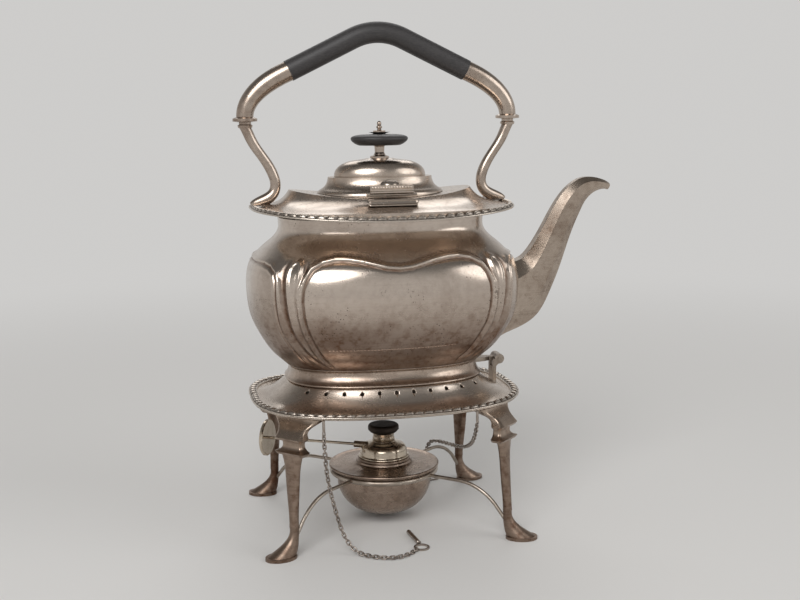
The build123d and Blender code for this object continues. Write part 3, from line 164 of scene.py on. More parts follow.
def tarnish_group():
    """Old silver: bright metal under warm tarnish, with fine mottling, dark specks and rubbed streaks; a mask
    adds tarnish with painted shade, and where it is below 0 a painted highlight.
    """
    group = bpy.data.node_groups.new("old_silver", "ShaderNodeTree")
    for name, kind, value in (
        ("Vector", "NodeSocketVector", None), ("Bright", "NodeSocketColor", (0.62, 0.57, 0.51, 1)),
        ("Tarnish", "NodeSocketColor", (0.27, 0.20, 0.14, 1)), ("Amount", "NodeSocketFloat", 0.5),
        ("Tarnish and painted shade", "NodeSocketFloat", 0.0), ("Polish", "NodeSocketFloat", 0.2),
        ("Specks", "NodeSocketFloat", 0.5),
    ):
        socket = group.interface.new_socket(name, in_out="INPUT", socket_type=kind)
        if value is not None:
            socket.default_value = value
    for name, kind in (("Color", "NodeSocketColor"), ("Roughness", "NodeSocketFloat"),
                       ("Height", "NodeSocketFloat")):
        group.interface.new_socket(name, in_out="OUTPUT", socket_type=kind)
    into = group.nodes.new("NodeGroupInput")
    out = group.nodes.new("NodeGroupOutput")

    def node(kind, **values):
        made = group.nodes.new(kind)
        for key, value in values.items():
            if key in made.inputs:
                made.inputs[key].default_value = value
            else:
                setattr(made, key, value)
        return made

    def link(a, b):
        group.links.new(a, b)

    def maths(operation, a, b, clamp=False):
        made = group.nodes.new("ShaderNodeMath")
        made.operation = operation
        made.use_clamp = clamp
        for slot, value in zip(made.inputs, (a, b)):
            if isinstance(value, (int, float)):
                slot.default_value = value
            else:
                link(value, slot)
        return made.outputs[0]

    def ramp(source, low, high):
        made = group.nodes.new("ShaderNodeMapRange")
        made.interpolation_type = "SMOOTHSTEP"
        link(source, made.inputs["Value"])
        made.inputs["From Min"].default_value = low
        made.inputs["From Max"].default_value = high
        return made.outputs["Result"]

    patches = node("ShaderNodeTexNoise", Scale=26.0, Detail=5.0, Roughness=0.62, Distortion=0.5)
    mottle = node("ShaderNodeTexNoise", Scale=240.0, Detail=4.0, Roughness=0.6)
    waves = node("ShaderNodeTexNoise", Scale=34.0, Detail=1.0, Roughness=0.4)
    pits = node("ShaderNodeTexVoronoi", Scale=480.0, Randomness=1.0)
    thin = node("ShaderNodeTexNoise", Scale=60.0, Detail=1.0)
    stretch = node("ShaderNodeMapping")
    stretch.inputs["Rotation"].default_value = (0.0, radians(4), 0.0)
    stretch.inputs["Scale"].default_value = (30.0, 30.0, 900.0)
    streaks = node("ShaderNodeTexNoise", Scale=1.0, Detail=4.0, Roughness=0.7)
    for texture in (patches, mottle, waves, pits, thin):
        link(into.outputs["Vector"], texture.inputs["Vector"])
    link(into.outputs["Vector"], stretch.inputs["Vector"])
    link(stretch.outputs["Vector"], streaks.inputs["Vector"])
    patch = ramp(patches.outputs["Fac"], 0.42, 0.68)
    fine = ramp(mottle.outputs["Fac"], 0.40, 0.75)
    rubbed = ramp(streaks.outputs["Fac"], 0.50, 0.72)
    blotch = maths("ADD", maths("MULTIPLY", patch, 0.62), maths("MULTIPLY", fine, 0.34))
    blotch = maths("ADD", blotch, maths("MULTIPLY", rubbed, 0.22))
    tarnish_with_shade = maths("MULTIPLY", blotch, into.outputs["Amount"])
    low = maths("ADD", maths("MULTIPLY", fine, 0.16), 0.84)
    # The mask input adds tarnish and painted shade in hollows; below 0 it takes tarnish off as a painted
    # highlight.
    tarnish_with_shade = maths("ADD", tarnish_with_shade, maths("MULTIPLY", into.outputs["Tarnish and painted shade"], low), clamp=True)
    tint = node("ShaderNodeMix", data_type="RGBA")
    link(tarnish_with_shade, tint.inputs["Factor"])
    link(into.outputs["Bright"], tint.inputs["A"])
    link(into.outputs["Tarnish"], tint.inputs["B"])
    dots = maths("SUBTRACT", 1.0, ramp(pits.outputs["Distance"], 0.08, 0.26))
    few = ramp(thin.outputs["Fac"], 0.50, 0.66)
    speck = maths("MULTIPLY", maths("MULTIPLY", dots, few), into.outputs["Specks"], clamp=True)
    dark = node("ShaderNodeMix", data_type="RGBA")
    dark.inputs["B"].default_value = (0.055, 0.038, 0.026, 1)
    link(speck, dark.inputs["Factor"])
    link(tint.outputs["Result"], dark.inputs["A"])
    link(dark.outputs["Result"], out.inputs["Color"])
    rough = maths("ADD", into.outputs["Polish"], maths("MULTIPLY", tarnish_with_shade, 0.22))
    rough = maths("ADD", rough, maths("MULTIPLY", streaks.outputs["Fac"], 0.10))
    rough = maths("ADD", rough, maths("MULTIPLY", speck, 0.35), clamp=True)
    link(rough, out.inputs["Roughness"])
    height = maths("ADD", maths("MULTIPLY", waves.outputs["Fac"], 3.6),
                   maths("MULTIPLY", mottle.outputs["Fac"], 0.16))
    height = maths("ADD", height, maths("MULTIPLY", streaks.outputs["Fac"], 0.05))
    height = maths("SUBTRACT", height, maths("MULTIPLY", speck, 0.5))
    link(height, out.inputs["Height"])
    return group


old_silver = tarnish_group()


def new_finish(name):
    """A new material with its node tree and its shader."""
    material = bpy.data.materials.new(name)
    material.use_nodes = True
    return material, material.node_tree, material.node_tree.nodes["Principled BSDF"]


def greater(tree, first, second):
    """The greater of two values in a node tree."""
    most = tree.nodes.new("ShaderNodeMath")
    most.operation = "MAXIMUM"
    tree.links.new(first, most.inputs[0])
    tree.links.new(second, most.inputs[1])
    return most.outputs[0]


def silver(name, bright, tarnish, amount, polish, specks=0.5, tarnish_and_painted_shade=False, bump=0.0001, darker_below=None):
    """A silver finish over the shared group. darker_below: heights where a darker, browner tone starts and is
    full, and its share; on the kettle it is a painted dark reflection.
    """
    material, tree, shader = new_finish(name)
    shader.inputs["Metallic"].default_value = 1.0
    place = tree.nodes.new("ShaderNodeTexCoord")
    finish = tree.nodes.new("ShaderNodeGroup")
    finish.node_tree = old_silver
    tree.links.new(place.outputs["Object"], finish.inputs["Vector"])
    finish.inputs["Bright"].default_value = (*bright, 1)
    finish.inputs["Tarnish"].default_value = (*tarnish, 1)
    finish.inputs["Amount"].default_value = amount
    finish.inputs["Polish"].default_value = polish
    finish.inputs["Specks"].default_value = specks
    shade_and_tarnish_share = None
    # The mesh's mask puts painted shade, with tarnish, into its hollows and, on the kettle, a painted
    # highlight on its crowns.
    if tarnish_and_painted_shade:
        low = tree.nodes.new("ShaderNodeAttribute")
        low.attribute_name = "tarnish_and_painted_shade"
        shade_and_tarnish_share = low.outputs["Fac"]
    # A darker, browner tone lower down; on the kettle this is a painted dark reflection.
    if darker_below:
        height = tree.nodes.new("ShaderNodeSeparateXYZ")
        tree.links.new(place.outputs["Object"], height.inputs["Vector"])
        fall = tree.nodes.new("ShaderNodeMapRange")
        fall.interpolation_type = "SMOOTHSTEP"
        for socket, value in zip(("From Min", "From Max", "To Max"), darker_below):
            fall.inputs[socket].default_value = value
        tree.links.new(height.outputs["Z"], fall.inputs["Value"])
        shade_and_tarnish_share = greater(tree, shade_and_tarnish_share, fall.outputs["Result"]) if shade_and_tarnish_share else fall.outputs["Result"]
    if shade_and_tarnish_share:
        tree.links.new(shade_and_tarnish_share, finish.inputs["Tarnish and painted shade"])
    relief = tree.nodes.new("ShaderNodeBump")
    relief.inputs["Strength"].default_value = 0.5
    relief.inputs["Distance"].default_value = bump
    tree.links.new(finish.outputs["Height"], relief.inputs["Height"])
    tree.links.new(relief.outputs["Normal"], shader.inputs["Normal"])
    tree.links.new(finish.outputs["Color"], shader.inputs["Base Color"])
    tree.links.new(finish.outputs["Roughness"], shader.inputs["Roughness"])
    return material


def dress(material, *names):
    """Gives CAD nodes a finish."""
    for name in names:
        mesh = nodes[name].data
        mesh.materials.clear()
        mesh.materials.append(material)


chain_silver = silver("chain_silver", (0.40, 0.35, 0.31), (0.07, 0.048, 0.036), 0.7, 0.16, 0.2, bump=0.00002)
for chain in chains.values():
    chain.data.materials.append(chain_silver)
dress(chain_silver, "chain_eye_left", "chain_eye_right", "pin_ring_left", "pin_ring_right",
      "lock_pin_left", "lock_pin_right")


# Stand plate: raised from one sheet of plated metal, with a pierced sloping gallery. Its
# edge is covered by a cast border of slanting lobes, soldered on.
PLATE_REACH, PLATE_DEPTH, PLATE_FULLNESS = 0.092, 0.069, 2.95
BORDER_WIDTH = 0.0056
BORDER_UNDER = 0.0889
PLATE_SWEEP = 0.0026
BORDER_HEIGHT = 0.0024
LOBES = 84


def cushion(turn, reach, depth, fullness):
    """A point on a cushion oval about the middle line."""
    size = (abs(cos(turn)) ** fullness + abs(sin(turn)) ** fullness) ** (1 / fullness)
    return MIDDLE + reach * cos(turn) / size, depth * sin(turn) / size


def ring_rows(name, segments, rows, place, tarnish_and_painted_shade=None, cap=False, closed=False):
    """A skin of rings: a circle is extruded row by row, then each point is set by its turn and row."""
    bm = bmesh.new()
    bmesh.ops.create_circle(bm, segments=segments, radius=1.0, cap_ends=cap)
    first = edges = bm.edges[:]
    for row in range(1, rows):
        grown = bmesh.ops.extrude_edge_only(bm, edges=edges)["geom"]
        edges = [e for e in grown if isinstance(e, bmesh.types.BMEdge)]
        bmesh.ops.translate(bm, verts=[v for v in grown if isinstance(v, bmesh.types.BMVert)], vec=(0, 0, 1))
    if closed:
        bmesh.ops.bridge_loops(bm, edges=first + edges)
    # Each point can carry a mask of tarnish and painted shade; below 0 it is a painted highlight.
    low = bm.verts.layers.float.new("tarnish_and_painted_shade")
    for vertex in bm.verts:
        turn, row = atan2(vertex.co.y, vertex.co.x), round(vertex.co.z)
        if tarnish_and_painted_shade:
            vertex[low] = tarnish_and_painted_shade(turn, row)
        vertex.co = place(turn, row)
    bmesh.ops.recalc_face_normals(bm, faces=bm.faces)
    return keep_mesh(name, bm)


def outline_shares(reach, depth, fullness, steps=1440):
    """Share of the way round a cushion oval at each of its turns, for spacing what repeats."""
    last = cushion(-pi, reach, depth, fullness)
    total, shares = 0.0, [0.0]
    for step in range(1, steps + 1):
        here = cushion(-pi + 2 * pi * step / steps, reach, depth, fullness)
        total += hypot(here[0] - last[0], here[1] - last[1])
        shares.append(total)
        last = here
    return [share / total for share in shares]


def share_at(shares, turn):
    """The share of the way round at any turn, read between the ones that are listed."""
    position = (turn + pi) / (2 * pi) * (len(shares) - 1)
    low = min(int(position), len(shares) - 2)
    return shares[low] + (shares[low + 1] - shares[low]) * (position - low)


def ridge(gap, middle, width):
    """1 on the middle line of a ridge, and falling smoothly to 0 on both sides of it."""
    return exp(-((gap - middle) / width) ** 2)


BORDER_ROWS = 19
LOBE_POINTS = 16
BORDER_SLANT = 0.7


def gadroon_border(name, reach, depth, fullness, width, under, height, sweep, lobes):
    """A cast border: flat below, with a plain outer bead and slanting rounded lobes inside it."""
    shares = outline_shares(reach, depth, fullness)

    def wave(turn, across):
        """How far a point lies from one gap between lobes to the next, from 0 to 1."""
        phase = share_at(shares, turn) * lobes + BORDER_SLANT * (1 if turn > 0 else -1) * across
        return phase - floor(phase)

    def profile(turn, row):
        """Height and way inward, as shares: a plain lip, lobes on a rising slope, then a fine bead."""
        if row == 0:
            return 0.0, 0.0
        if row == BORDER_ROWS - 1:
            return 0.0, 1.0
        inward = (row - 1) / (BORDER_ROWS - 3)
        lip = 0.36 * exp(-((inward - 0.05) / 0.075) ** 4)
        bead = 0.60 * ridge(inward, 0.95, 0.05)
        slope = min(1.0, max(0.0, (inward - 0.11) / 0.22))
        ground = 0.20 + 0.14 * slope
        if 0.11 < inward < 0.91:
            part = wave(turn, inward)
            lobe = (1 - abs(2 * part - 1) ** 2.6) ** 0.6
            ends = min(1.0, (0.91 - inward) / 0.22)
            ground += 0.66 * slope ** 0.7 * lobe * ends ** 0.5
        return max(lip, bead, ground), inward

    def place(turn, row):
        rise, inward = profile(turn, row)
        x, y = cushion(turn, reach - width * inward, depth - width * inward, fullness)
        z = under + sweep * ((x - MIDDLE) / reach) ** 2
        return x, y, z + height * rise

    # Tarnish and painted shade: dark in the gaps between the lobes and where they meet the lip and the bead.
    def tarnish_and_painted_shade(turn, row):
        inward = (row - 1) / (BORDER_ROWS - 3)
        if row == 0 or not 0.10 < inward < 0.93:
            return 0.0
        between = abs(2 * wave(turn, inward) - 1) ** 3.5
        ends = max(ridge(inward, 0.14, 0.05), ridge(inward, 0.88, 0.05))
        return max(between, 0.85 * ends)

    return ring_rows(name, LOBE_POINTS * lobes, BORDER_ROWS, place, tarnish_and_painted_shade, closed=True)


# The border's finish takes its mesh's mask: tarnish and painted shade between the lobes.
border_silver = silver("border_silver", (0.60, 0.53, 0.46), (0.045, 0.028, 0.02), 0.15, 0.2, 0.3, True,
                       0.00002)
plate_silver = silver("plate_silver", (0.58, 0.50, 0.43), (0.22, 0.15, 0.105), 0.5, 0.16, 0.6)
stand_border = gadroon_border("stand_border", PLATE_REACH, PLATE_DEPTH, PLATE_FULLNESS, BORDER_WIDTH,
                              BORDER_UNDER, BORDER_HEIGHT, PLATE_SWEEP, LOBES)
stand_border.data.materials.append(border_silver)
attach(stand_border, "stand")
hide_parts("plate_border")
PLATE_PROFILE = (
    (90.9, 67.9, 87.5, 90.1, 2.95), (90.9, 67.9, 88.9, 91.5, 2.95), (86.0, 63.4, 88.95, 91.45, 2.9),
    (83.0, 60.6, 89.6, 91.7, 2.85), (80.0, 57.8, 90.9, 92.3, 2.8), (77.6, 55.4, 92.6, 93.3, 2.75),
    (75.0, 53.3, 94.6, 95.0, 2.7), (72.6, 51.5, 96.8, 96.9, 2.65), (70.4, 50.0, 99.1, 98.9, 2.6),
    (68.4, 49.0, 101.2, 100.8, 2.55), (67.0, 48.5, 102.5, 102.1, 2.5), (66.2, 48.0, 103.0, 102.9, 2.5),
    (58.0, 35.0, 103.0, 103.0, 2.5), (58.0, 35.0, 101.6, 101.6, 2.5), (65.4, 47.0, 101.6, 101.2, 2.5),
    (67.6, 48.2, 99.6, 98.8, 2.55), (71.4, 50.6, 95.4, 95.2, 2.65), (76.2, 54.2, 91.4, 91.9, 2.75),
    (80.4, 58.4, 88.6, 90.4, 2.85), (85.0, 62.4, 87.5, 90.0, 2.9),
)
VENTS = 11
VENT_PITCH = 11.4
VENT_HEIGHT = 100.2
VENT_RADIUS = 0.0013
VENT_DRILL = 0.007
GALLERY_REACH, GALLERY_DEPTH, GALLERY_FULLNESS = 69.4, 49.5, 2.57
GALLERY_TURN, GALLERY_SLOPE = 0.35, 0.55


def swept_oval(name, profile, segments=480):
    """A piece on cushion ovals. Each row: reach, depth, height in front, height at the ends, fullness."""
    def place(turn, row):
        reach, depth, z, end_z, fullness = profile[row]
        x, y = cushion(turn, reach, depth, fullness)
        x -= MIDDLE
        return MIDDLE + x / 1000, y / 1000, (z + (end_z - z) * (x / reach) ** 2) / 1000

    return ring_rows(name, segments, len(profile), place, closed=True)


def oval_depth(along_x, reach, depth, fullness):
    """How far a cushion oval lies from its long axis at a place along that axis."""
    return depth * (1 - (abs(along_x) / reach) ** fullness) ** (1 / fullness)


# The vents are drilled square to the gallery's slope, through the oval that it has at their height.
plate_whole = swept_oval("plate_whole", PLATE_PROFILE)
bm = bmesh.new()
for side in (-1, 1):
    for number in range(VENTS):
        along_x = (number - (VENTS - 1) / 2) * VENT_PITCH
        y = side * oval_depth(along_x, GALLERY_REACH, GALLERY_DEPTH, GALLERY_FULLNESS)
        outward = Vector((along_x * GALLERY_TURN / GALLERY_DEPTH, side, GALLERY_SLOPE))
        turned = outward.to_track_quat("Z", "Y").to_matrix().to_4x4()
        place = Matrix.Translation((MIDDLE + along_x / 1000, y / 1000, VENT_HEIGHT / 1000)) @ turned
        bmesh.ops.create_cone(bm, cap_ends=True, segments=20, radius1=VENT_RADIUS, radius2=VENT_RADIUS,
                              depth=VENT_DRILL, matrix=place)
drills = keep_mesh("drills", bm)
pierce = plate_whole.modifiers.new("pierce", "BOOLEAN")
pierce.operation = "DIFFERENCE"
pierce.solver = "EXACT"
pierce.object = drills
ready = plate_whole.evaluated_get(bpy.context.evaluated_depsgraph_get())
plate_skin = bpy.data.objects.new("plate_skin", bpy.data.meshes.new_from_object(ready))
bpy.context.scene.collection.objects.link(plate_skin)
bpy.data.objects.remove(plate_whole)
bpy.data.objects.remove(drills)
plate_skin.data.materials.clear()
plate_skin.data.materials.append(plate_silver)
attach(plate_skin, "stand")
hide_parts("stand_plate")

# A dark sheet lies on the inside of the gallery, just behind its vents: painted shade that the vents show.
VENT_SHADE_PROFILE = (
    (67.6, 48.2, 98.6, 98.0, 2.55), (65.4, 46.9, 101.3, 100.9, 2.5), (65.0, 46.5, 101.3, 100.9, 2.5),
    (67.2, 47.8, 98.6, 98.0, 2.55),
)
# One dark finish serves as soot on the snuffer cap and as painted shade on the sheet behind the vents.
soot_and_painted_shade = silver("soot_and_painted_shade", (0.07, 0.055, 0.045), (0.02, 0.016, 0.014), 0.8, 0.45, 0.2)
vent_shade_sheet = swept_oval("vent_shade_sheet", VENT_SHADE_PROFILE, 240)
vent_shade_sheet.data.materials.append(soot_and_painted_shade)
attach(vent_shade_sheet, "stand")


# Legs: cast, with a winged bracket soldered under the plate, two moulded ledges and a
# tapering shaft down to a pad foot; worn bright on the edges, and darker and browner towards the feet.
leg_silver = silver("leg_silver", (0.44, 0.35, 0.28), (0.105, 0.055, 0.034), 0.65, 0.2, 0.5,
                    darker_below=(0.086, 0.050, 0.6))
dress(leg_silver, "leg_front_left", "leg_front_right", "leg_back_left", "leg_back_right")


# Lamp ring: a wire hoop on four bent stays that are let into the ankles of the legs.
fitting_silver = silver("fitting_silver", (0.46, 0.40, 0.34), (0.10, 0.065, 0.045), 0.7, 0.22, 0.4)
dress(fitting_silver, "lamp_ring", "stay_front_left", "stay_front_right", "stay_back_left",
      "stay_back_right")


# Kettle hinge: a forked post on the plate, a tongued arm on the kettle and the pin between.
dress(fitting_silver, "hinge_post", "hinge_pin", "hinge_arm")


# Kettle: raised in one piece with its foot soldered on. The front and back panels have
# rolled double-lobed edges, the ends have a panel each, and a reed fills every corner.
BODY_LEVELS = (
    (114.5, 67.0, 2.5), (124.0, 76.8, 2.6), (134.0, 83.4, 2.7), (147.0, 89.4, 2.8), (163.0, 91.5, 2.85),
    (175.0, 91.0, 2.85), (184.0, 88.0, 2.8), (192.5, 80.6, 2.65), (199.5, 72.8, 2.5), (205.0, 69.5, 2.5),
    (213.0, 69.5, 2.5),
)
OVAL = 23.0
BODY_UNDER, BODY_RISE = 114.5, 98.5
BODY_ROWS, BODY_POINTS = 132, 720
FRONT_EDGE = (
    (0.595, 117), (0.63, 124), (0.652, 131), (0.670, 140), (0.682, 148), (0.690, 156), (0.692, 164),
    (0.684, 172), (0.662, 179.5), (0.630, 185), (0.57, 188.8), (0.48, 190.6), (0.39, 190.4),
    (0.28, 189.0), (0.18, 187.0), (0.09, 185.1), (0.0, 184.4),
)
LOBE_EDGE = (
    (0.605, 117), (0.668, 123.5), (0.716, 131), (0.744, 140), (0.758, 148), (0.768, 156), (0.774, 164),
    (0.779, 172), (0.785, 179), (0.785, 184), (0.773, 188), (0.748, 190.4), (0.716, 190.2),
    (0.692, 187.5), (0.682, 182), (0.686, 175), (0.694, 168),
)
END_EDGE = (
    (0.765, 117), (0.757, 124), (0.748, 132), (0.740, 141), (0.736, 150), (0.733, 160), (0.733, 170),
    (0.724, 177), (0.69, 182.5), (0.61, 186), (0.49, 187.3), (0.33, 187.2), (0.16, 186.8), (0.0, 186.6),
)
FRONT_SCALE, END_SCALE = 104.0, 78.0
CROWDING = 0.105


def smooth_at(levels, z, column):
    """A size of the body at a height, on a smooth curve through its levels."""
    last = len(levels) - 1
    low = next((i for i in range(last) if z <= levels[i + 1][0]), last - 1)
    h = levels[low + 1][0] - levels[low][0]
    t = min(1.0, max(0.0, (z - levels[low][0]) / h))

    def slope(i):
        a, b = max(0, i - 1), min(last, i + 1)
        return (levels[b][column] - levels[a][column]) / (levels[b][0] - levels[a][0])

    return ((2 * t**3 - 3 * t**2 + 1) * levels[low][column] + (t**3 - 2 * t**2 + t) * h * slope(low)
            + (3 * t**2 - 2 * t**3) * levels[low + 1][column] + (t**3 - t**2) * h * slope(low + 1))


def edge_gap(edge, share, z, scale):
    """Signed distance in mm from a panel's outline: negative inside the panel, positive outside."""
    best, side = 1e9, 1.0
    px, pz = share * scale, z
    for (a, za), (b, zb) in zip(edge, edge[1:]):
        ax, bx = a * scale, b * scale
        dx, dz = bx - ax, zb - za
        t = max(0.0, min(1.0, ((px - ax) * dx + (pz - za) * dz) / (dx * dx + dz * dz)))
        gx, gz = px - ax - t * dx, pz - za - t * dz
        gap = hypot(gx, gz)
        if gap < best:
            best, side = gap, (1.0 if gx * dz - gz * dx > 0 else -1.0)
    return best * side


body_heights = [BODY_UNDER + BODY_RISE * row / (BODY_ROWS - 1) for row in range(BODY_ROWS)]
body_sizes = [(smooth_at(BODY_LEVELS, z, 1), smooth_at(BODY_LEVELS, z, 2)) for z in body_heights]
relief_cache = {}


def step_up(value, low, high):
    """Rises smoothly from 0 at low to 1 at high."""
    share = min(1.0, max(0.0, (value - low) / (high - low)))
    return share * share * (3 - 2 * share)


def body_relief(turn, row):
    """How far the body stands out, in mm, and its mask of painted shade with tarnish, below 0 a painted
    highlight: ridges round panels, a lobe at each corner.
    """
    key = (round(abs(abs(turn) - pi / 2), 6), row)
    if key in relief_cache:
        return relief_cache[key]
    z = BODY_UNDER + BODY_RISE * row / (BODY_ROWS - 1)
    reach, fullness = body_sizes[row]
    x, y = cushion(turn, reach, reach - OVAL, fullness)
    xs, ys = abs(x - MIDDLE) / reach, abs(y) / (reach - OVAL)
    fade = step_up(z, 115, 122) * (1 - step_up(z, 193, 198))
    front = edge_gap(FRONT_EDGE, xs, z, FRONT_SCALE)
    lobe = edge_gap(LOBE_EDGE, xs, z, FRONT_SCALE)
    end = edge_gap(END_EDGE, ys, z, END_SCALE)
    stand = 1.75 * ridge(front, 0.3, 1.3) - 0.95 * ridge(front, -2.0, 0.85)
    stand += 1.35 * ridge(end, 0.2, 1.0) - 0.6 * ridge(end, -1.7, 0.7) + 0.45 * ridge(end, -3.3, 0.7)
    # dark is painted shade, with tarnish, under the ridges; bright is a painted highlight on their crowns.
    dark = max(ridge(front, -1.9, 0.75), 0.95 * ridge(end, -1.6, 0.65))
    bright = max(ridge(front, 0.3, 0.9), 0.8 * ridge(end, 0.2, 0.7))
    if front > 0 and end > 0 and z < 194:
        if lobe < 0:
            start = step_up(front, 1.0, 4.0)
            stand += 1.5 * step_up(-lobe, 0.0, 1.6) * (0.45 + 0.55 * step_up(front, 0.5, 7.0))
            stand += 0.95 * ridge(-lobe, 1.5, 1.0) * start
            # A painted highlight along each lobe's crest.
            bright = max(bright, 0.9 * ridge(-lobe, 1.5, 0.9) * start)
        elif lobe > 0:
            below = step_up(192 - z, 0, 8)
            stand -= 1.2 * ridge(lobe, 2.4, 1.9) * step_up(end, 0.3, 2.0) * below
            # Painted shade, with tarnish, in the groove beside each lobe.
            dark = max(dark, 0.9 * ridge(lobe, 2.0, 2.3) * below * step_up(end, 0.2, 1.2))
        dark = max(dark, 0.5 * ridge(front, 2.6, 0.8))
    # The painted highlight takes painted shade and tarnish away.
    dark -= 0.6 * bright
    relief_cache[key] = (stand * fade, dark * fade)
    return relief_cache[key]


def crowd(turn):
    """Brings the columns of the skin closer together at the four corners, where its relief is."""
    return turn + CROWDING * sin(4 * turn)


def body_place(turn, row):
    """A point of the body: on its plain oval, then out along the oval's normal by the relief."""
    turn = crowd(turn)
    z = BODY_UNDER + BODY_RISE * row / (BODY_ROWS - 1)
    reach, fullness = body_sizes[row]
    x, y = cushion(turn, reach, reach - OVAL, fullness)
    stand = body_relief(turn, row)[0]
    x -= MIDDLE
    nx = abs(x / reach) ** (fullness - 1) * (1 if x > 0 else -1) / reach
    ny = abs(y / (reach - OVAL)) ** (fullness - 1) * (1 if y > 0 else -1) / (reach - OVAL)
    size = hypot(nx, ny) or 1.0
    return MIDDLE + (x + stand * nx / size) / 1000, (y + stand * ny / size) / 1000, z / 1000


def body_shade_tarnish_highlight(turn, row):
    """How much painted shade with tarnish a point of the body has; below 0 it has a painted highlight."""
    return body_relief(crowd(turn), row)[1]


kettle_skin = ring_rows("kettle_skin", BODY_POINTS, BODY_ROWS, body_place, body_shade_tarnish_highlight, cap=True)
# The kettle's belly darkens below 174 mm as a painted dark reflection; its mask adds painted shade, with
# tarnish, and painted highlights along the relief.
kettle_silver = silver("kettle_silver", (0.60, 0.52, 0.45), (0.15, 0.082, 0.050), 0.36, 0.14, 0.9, True,
                       darker_below=(0.174, 0.134, 0.72))
kettle_skin.data.materials.append(kettle_silver)
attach(kettle_skin, "kettle")
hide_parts("kettle_body")

# A line of chased dots crosses each wide panel near its foot.
CHASED_DOTS = 38
CHASED_START, CHASED_PITCH = -44.0, 2.2
CHASED_HEIGHT, CHASED_BEND = 131.0, 0.0000055
DOT_SINK = 0.05
DOT_SIZE = Matrix.Diagonal((0.0008, 0.0003, 0.00042, 1.0))
bm = bmesh.new()
for side in (-1, 1):
    for number in range(CHASED_DOTS):
        along_x = CHASED_START + number * CHASED_PITCH
        z = CHASED_HEIGHT + CHASED_BEND * (along_x + 16.0) ** 3
        reach, fullness = smooth_at(BODY_LEVELS, z, 1), smooth_at(BODY_LEVELS, z, 2)
        y = side * (oval_depth(along_x, reach, reach - OVAL, fullness) - DOT_SINK)
        place = Matrix.Translation((MIDDLE + along_x / 1000, y / 1000, z / 1000))
        bmesh.ops.create_uvsphere(bm, u_segments=8, v_segments=5, radius=1.0, matrix=place @ DOT_SIZE)
chased_line = keep_mesh("chased_line", bm)
chased_silver = silver("chased_silver", (0.40, 0.29, 0.22), (0.10, 0.06, 0.04), 0.7, 0.2, 0.2, bump=0.00001)
chased_line.data.materials.append(chased_silver)
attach(chased_line, "kettle")

# The foot is a plain moulding, soldered on below.
FOOT_PROFILE = (
    (60.0, 40.0, 103.4), (66.9, 46.9, 103.35), (67.4, 47.4, 103.7), (67.4, 47.4, 104.4), (67.0, 46.9, 104.8),
    (66.1, 45.2, 105.6), (65.4, 43.6, 107.0), (64.9, 42.6, 108.8), (64.7, 42.0, 110.6), (64.8, 41.9, 112.2),
    (65.4, 42.4, 113.6), (66.6, 43.6, 114.5), (63.0, 40.0, 114.5), (62.2, 39.2, 110.0),
)
FOOT_FULLNESS = 2.55
foot_skin = swept_oval("foot_skin", [(reach, depth, z, z, FOOT_FULLNESS)
                                     for reach, depth, z in FOOT_PROFILE])
foot_silver = silver("foot_silver", (0.50, 0.41, 0.34), (0.15, 0.09, 0.06), 0.75, 0.17, 0.6)
foot_skin.data.materials.append(foot_silver)
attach(foot_skin, "kettle")
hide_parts("kettle_foot")


# Kettle top: a wide brim with a cast border of lobes that sweeps up at both ends, and a
# raised shelf round the filling mouth.
RIM_REACH, RIM_DEPTH = 0.088, 0.068
RIM_WIDTH = 0.005
RIM_UNDER = 0.2135
RIM_HEIGHT = 0.003
RIM_SWEEP = 0.0052
RIM_LOBES = 82
dress(plate_silver, "kettle_top")
kettle_border = gadroon_border("kettle_border", RIM_REACH, RIM_DEPTH, PLATE_FULLNESS, RIM_WIDTH, RIM_UNDER,
                               RIM_HEIGHT, RIM_SWEEP, RIM_LOBES)
kettle_border.data.materials.append(border_silver)
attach(kettle_border, "kettle")
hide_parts("rim_border")


# Spout: a faceted swan neck, seamed along its middle and soldered over a pierced strainer.
spout_silver = silver("spout_silver", (0.48, 0.40, 0.33), (0.14, 0.085, 0.056), 0.85, 0.14, 0.6)
dress(spout_silver, "spout")


# Handle: two bent arms on scroll feet, turned collars and tapering sockets, all cast, and
# a grip of blackened hardwood pinned into the sockets.
handle_silver = silver("handle_silver", (0.50, 0.42, 0.355), (0.15, 0.092, 0.062), 0.7, 0.16, 0.6)
dress(handle_silver, "handle_arm_left", "handle_arm_right", "handle_collar_left", "handle_collar_right",
      "handle_socket_left", "handle_socket_right")
grip_wood, tree, shader = new_finish("grip_wood")
place = tree.nodes.new("ShaderNodeTexCoord")
stretch = tree.nodes.new("ShaderNodeMapping")
stretch.inputs["Scale"].default_value = (60, 700, 700)
fibre = tree.nodes.new("ShaderNodeTexNoise")
fibre.inputs["Detail"].default_value = 4.0
tree.links.new(place.outputs["Object"], stretch.inputs["Vector"])
tree.links.new(stretch.outputs["Vector"], fibre.inputs["Vector"])
shade = tree.nodes.new("ShaderNodeValToRGB")
shade.color_ramp.elements[0].color = (0.018, 0.017, 0.018, 1)
shade.color_ramp.elements[0].position = 0.3
shade.color_ramp.elements[1].color = (0.052, 0.047, 0.046, 1)
shade.color_ramp.elements[1].position = 0.75
tree.links.new(fibre.outputs["Fac"], shade.inputs["Fac"])
tree.links.new(shade.outputs["Color"], shader.inputs["Base Color"])
wear = tree.nodes.new("ShaderNodeMapRange")
wear.inputs["To Min"].default_value = 0.38
wear.inputs["To Max"].default_value = 0.56
tree.links.new(fibre.outputs["Fac"], wear.inputs["Value"])
tree.links.new(wear.outputs["Result"], shader.inputs["Roughness"])
pores = tree.nodes.new("ShaderNodeBump")
pores.inputs["Strength"].default_value = 0.35
pores.inputs["Distance"].default_value = 0.00008
tree.links.new(fibre.outputs["Fac"], pores.inputs["Height"])
tree.links.new(pores.outputs["Normal"], shader.inputs["Normal"])
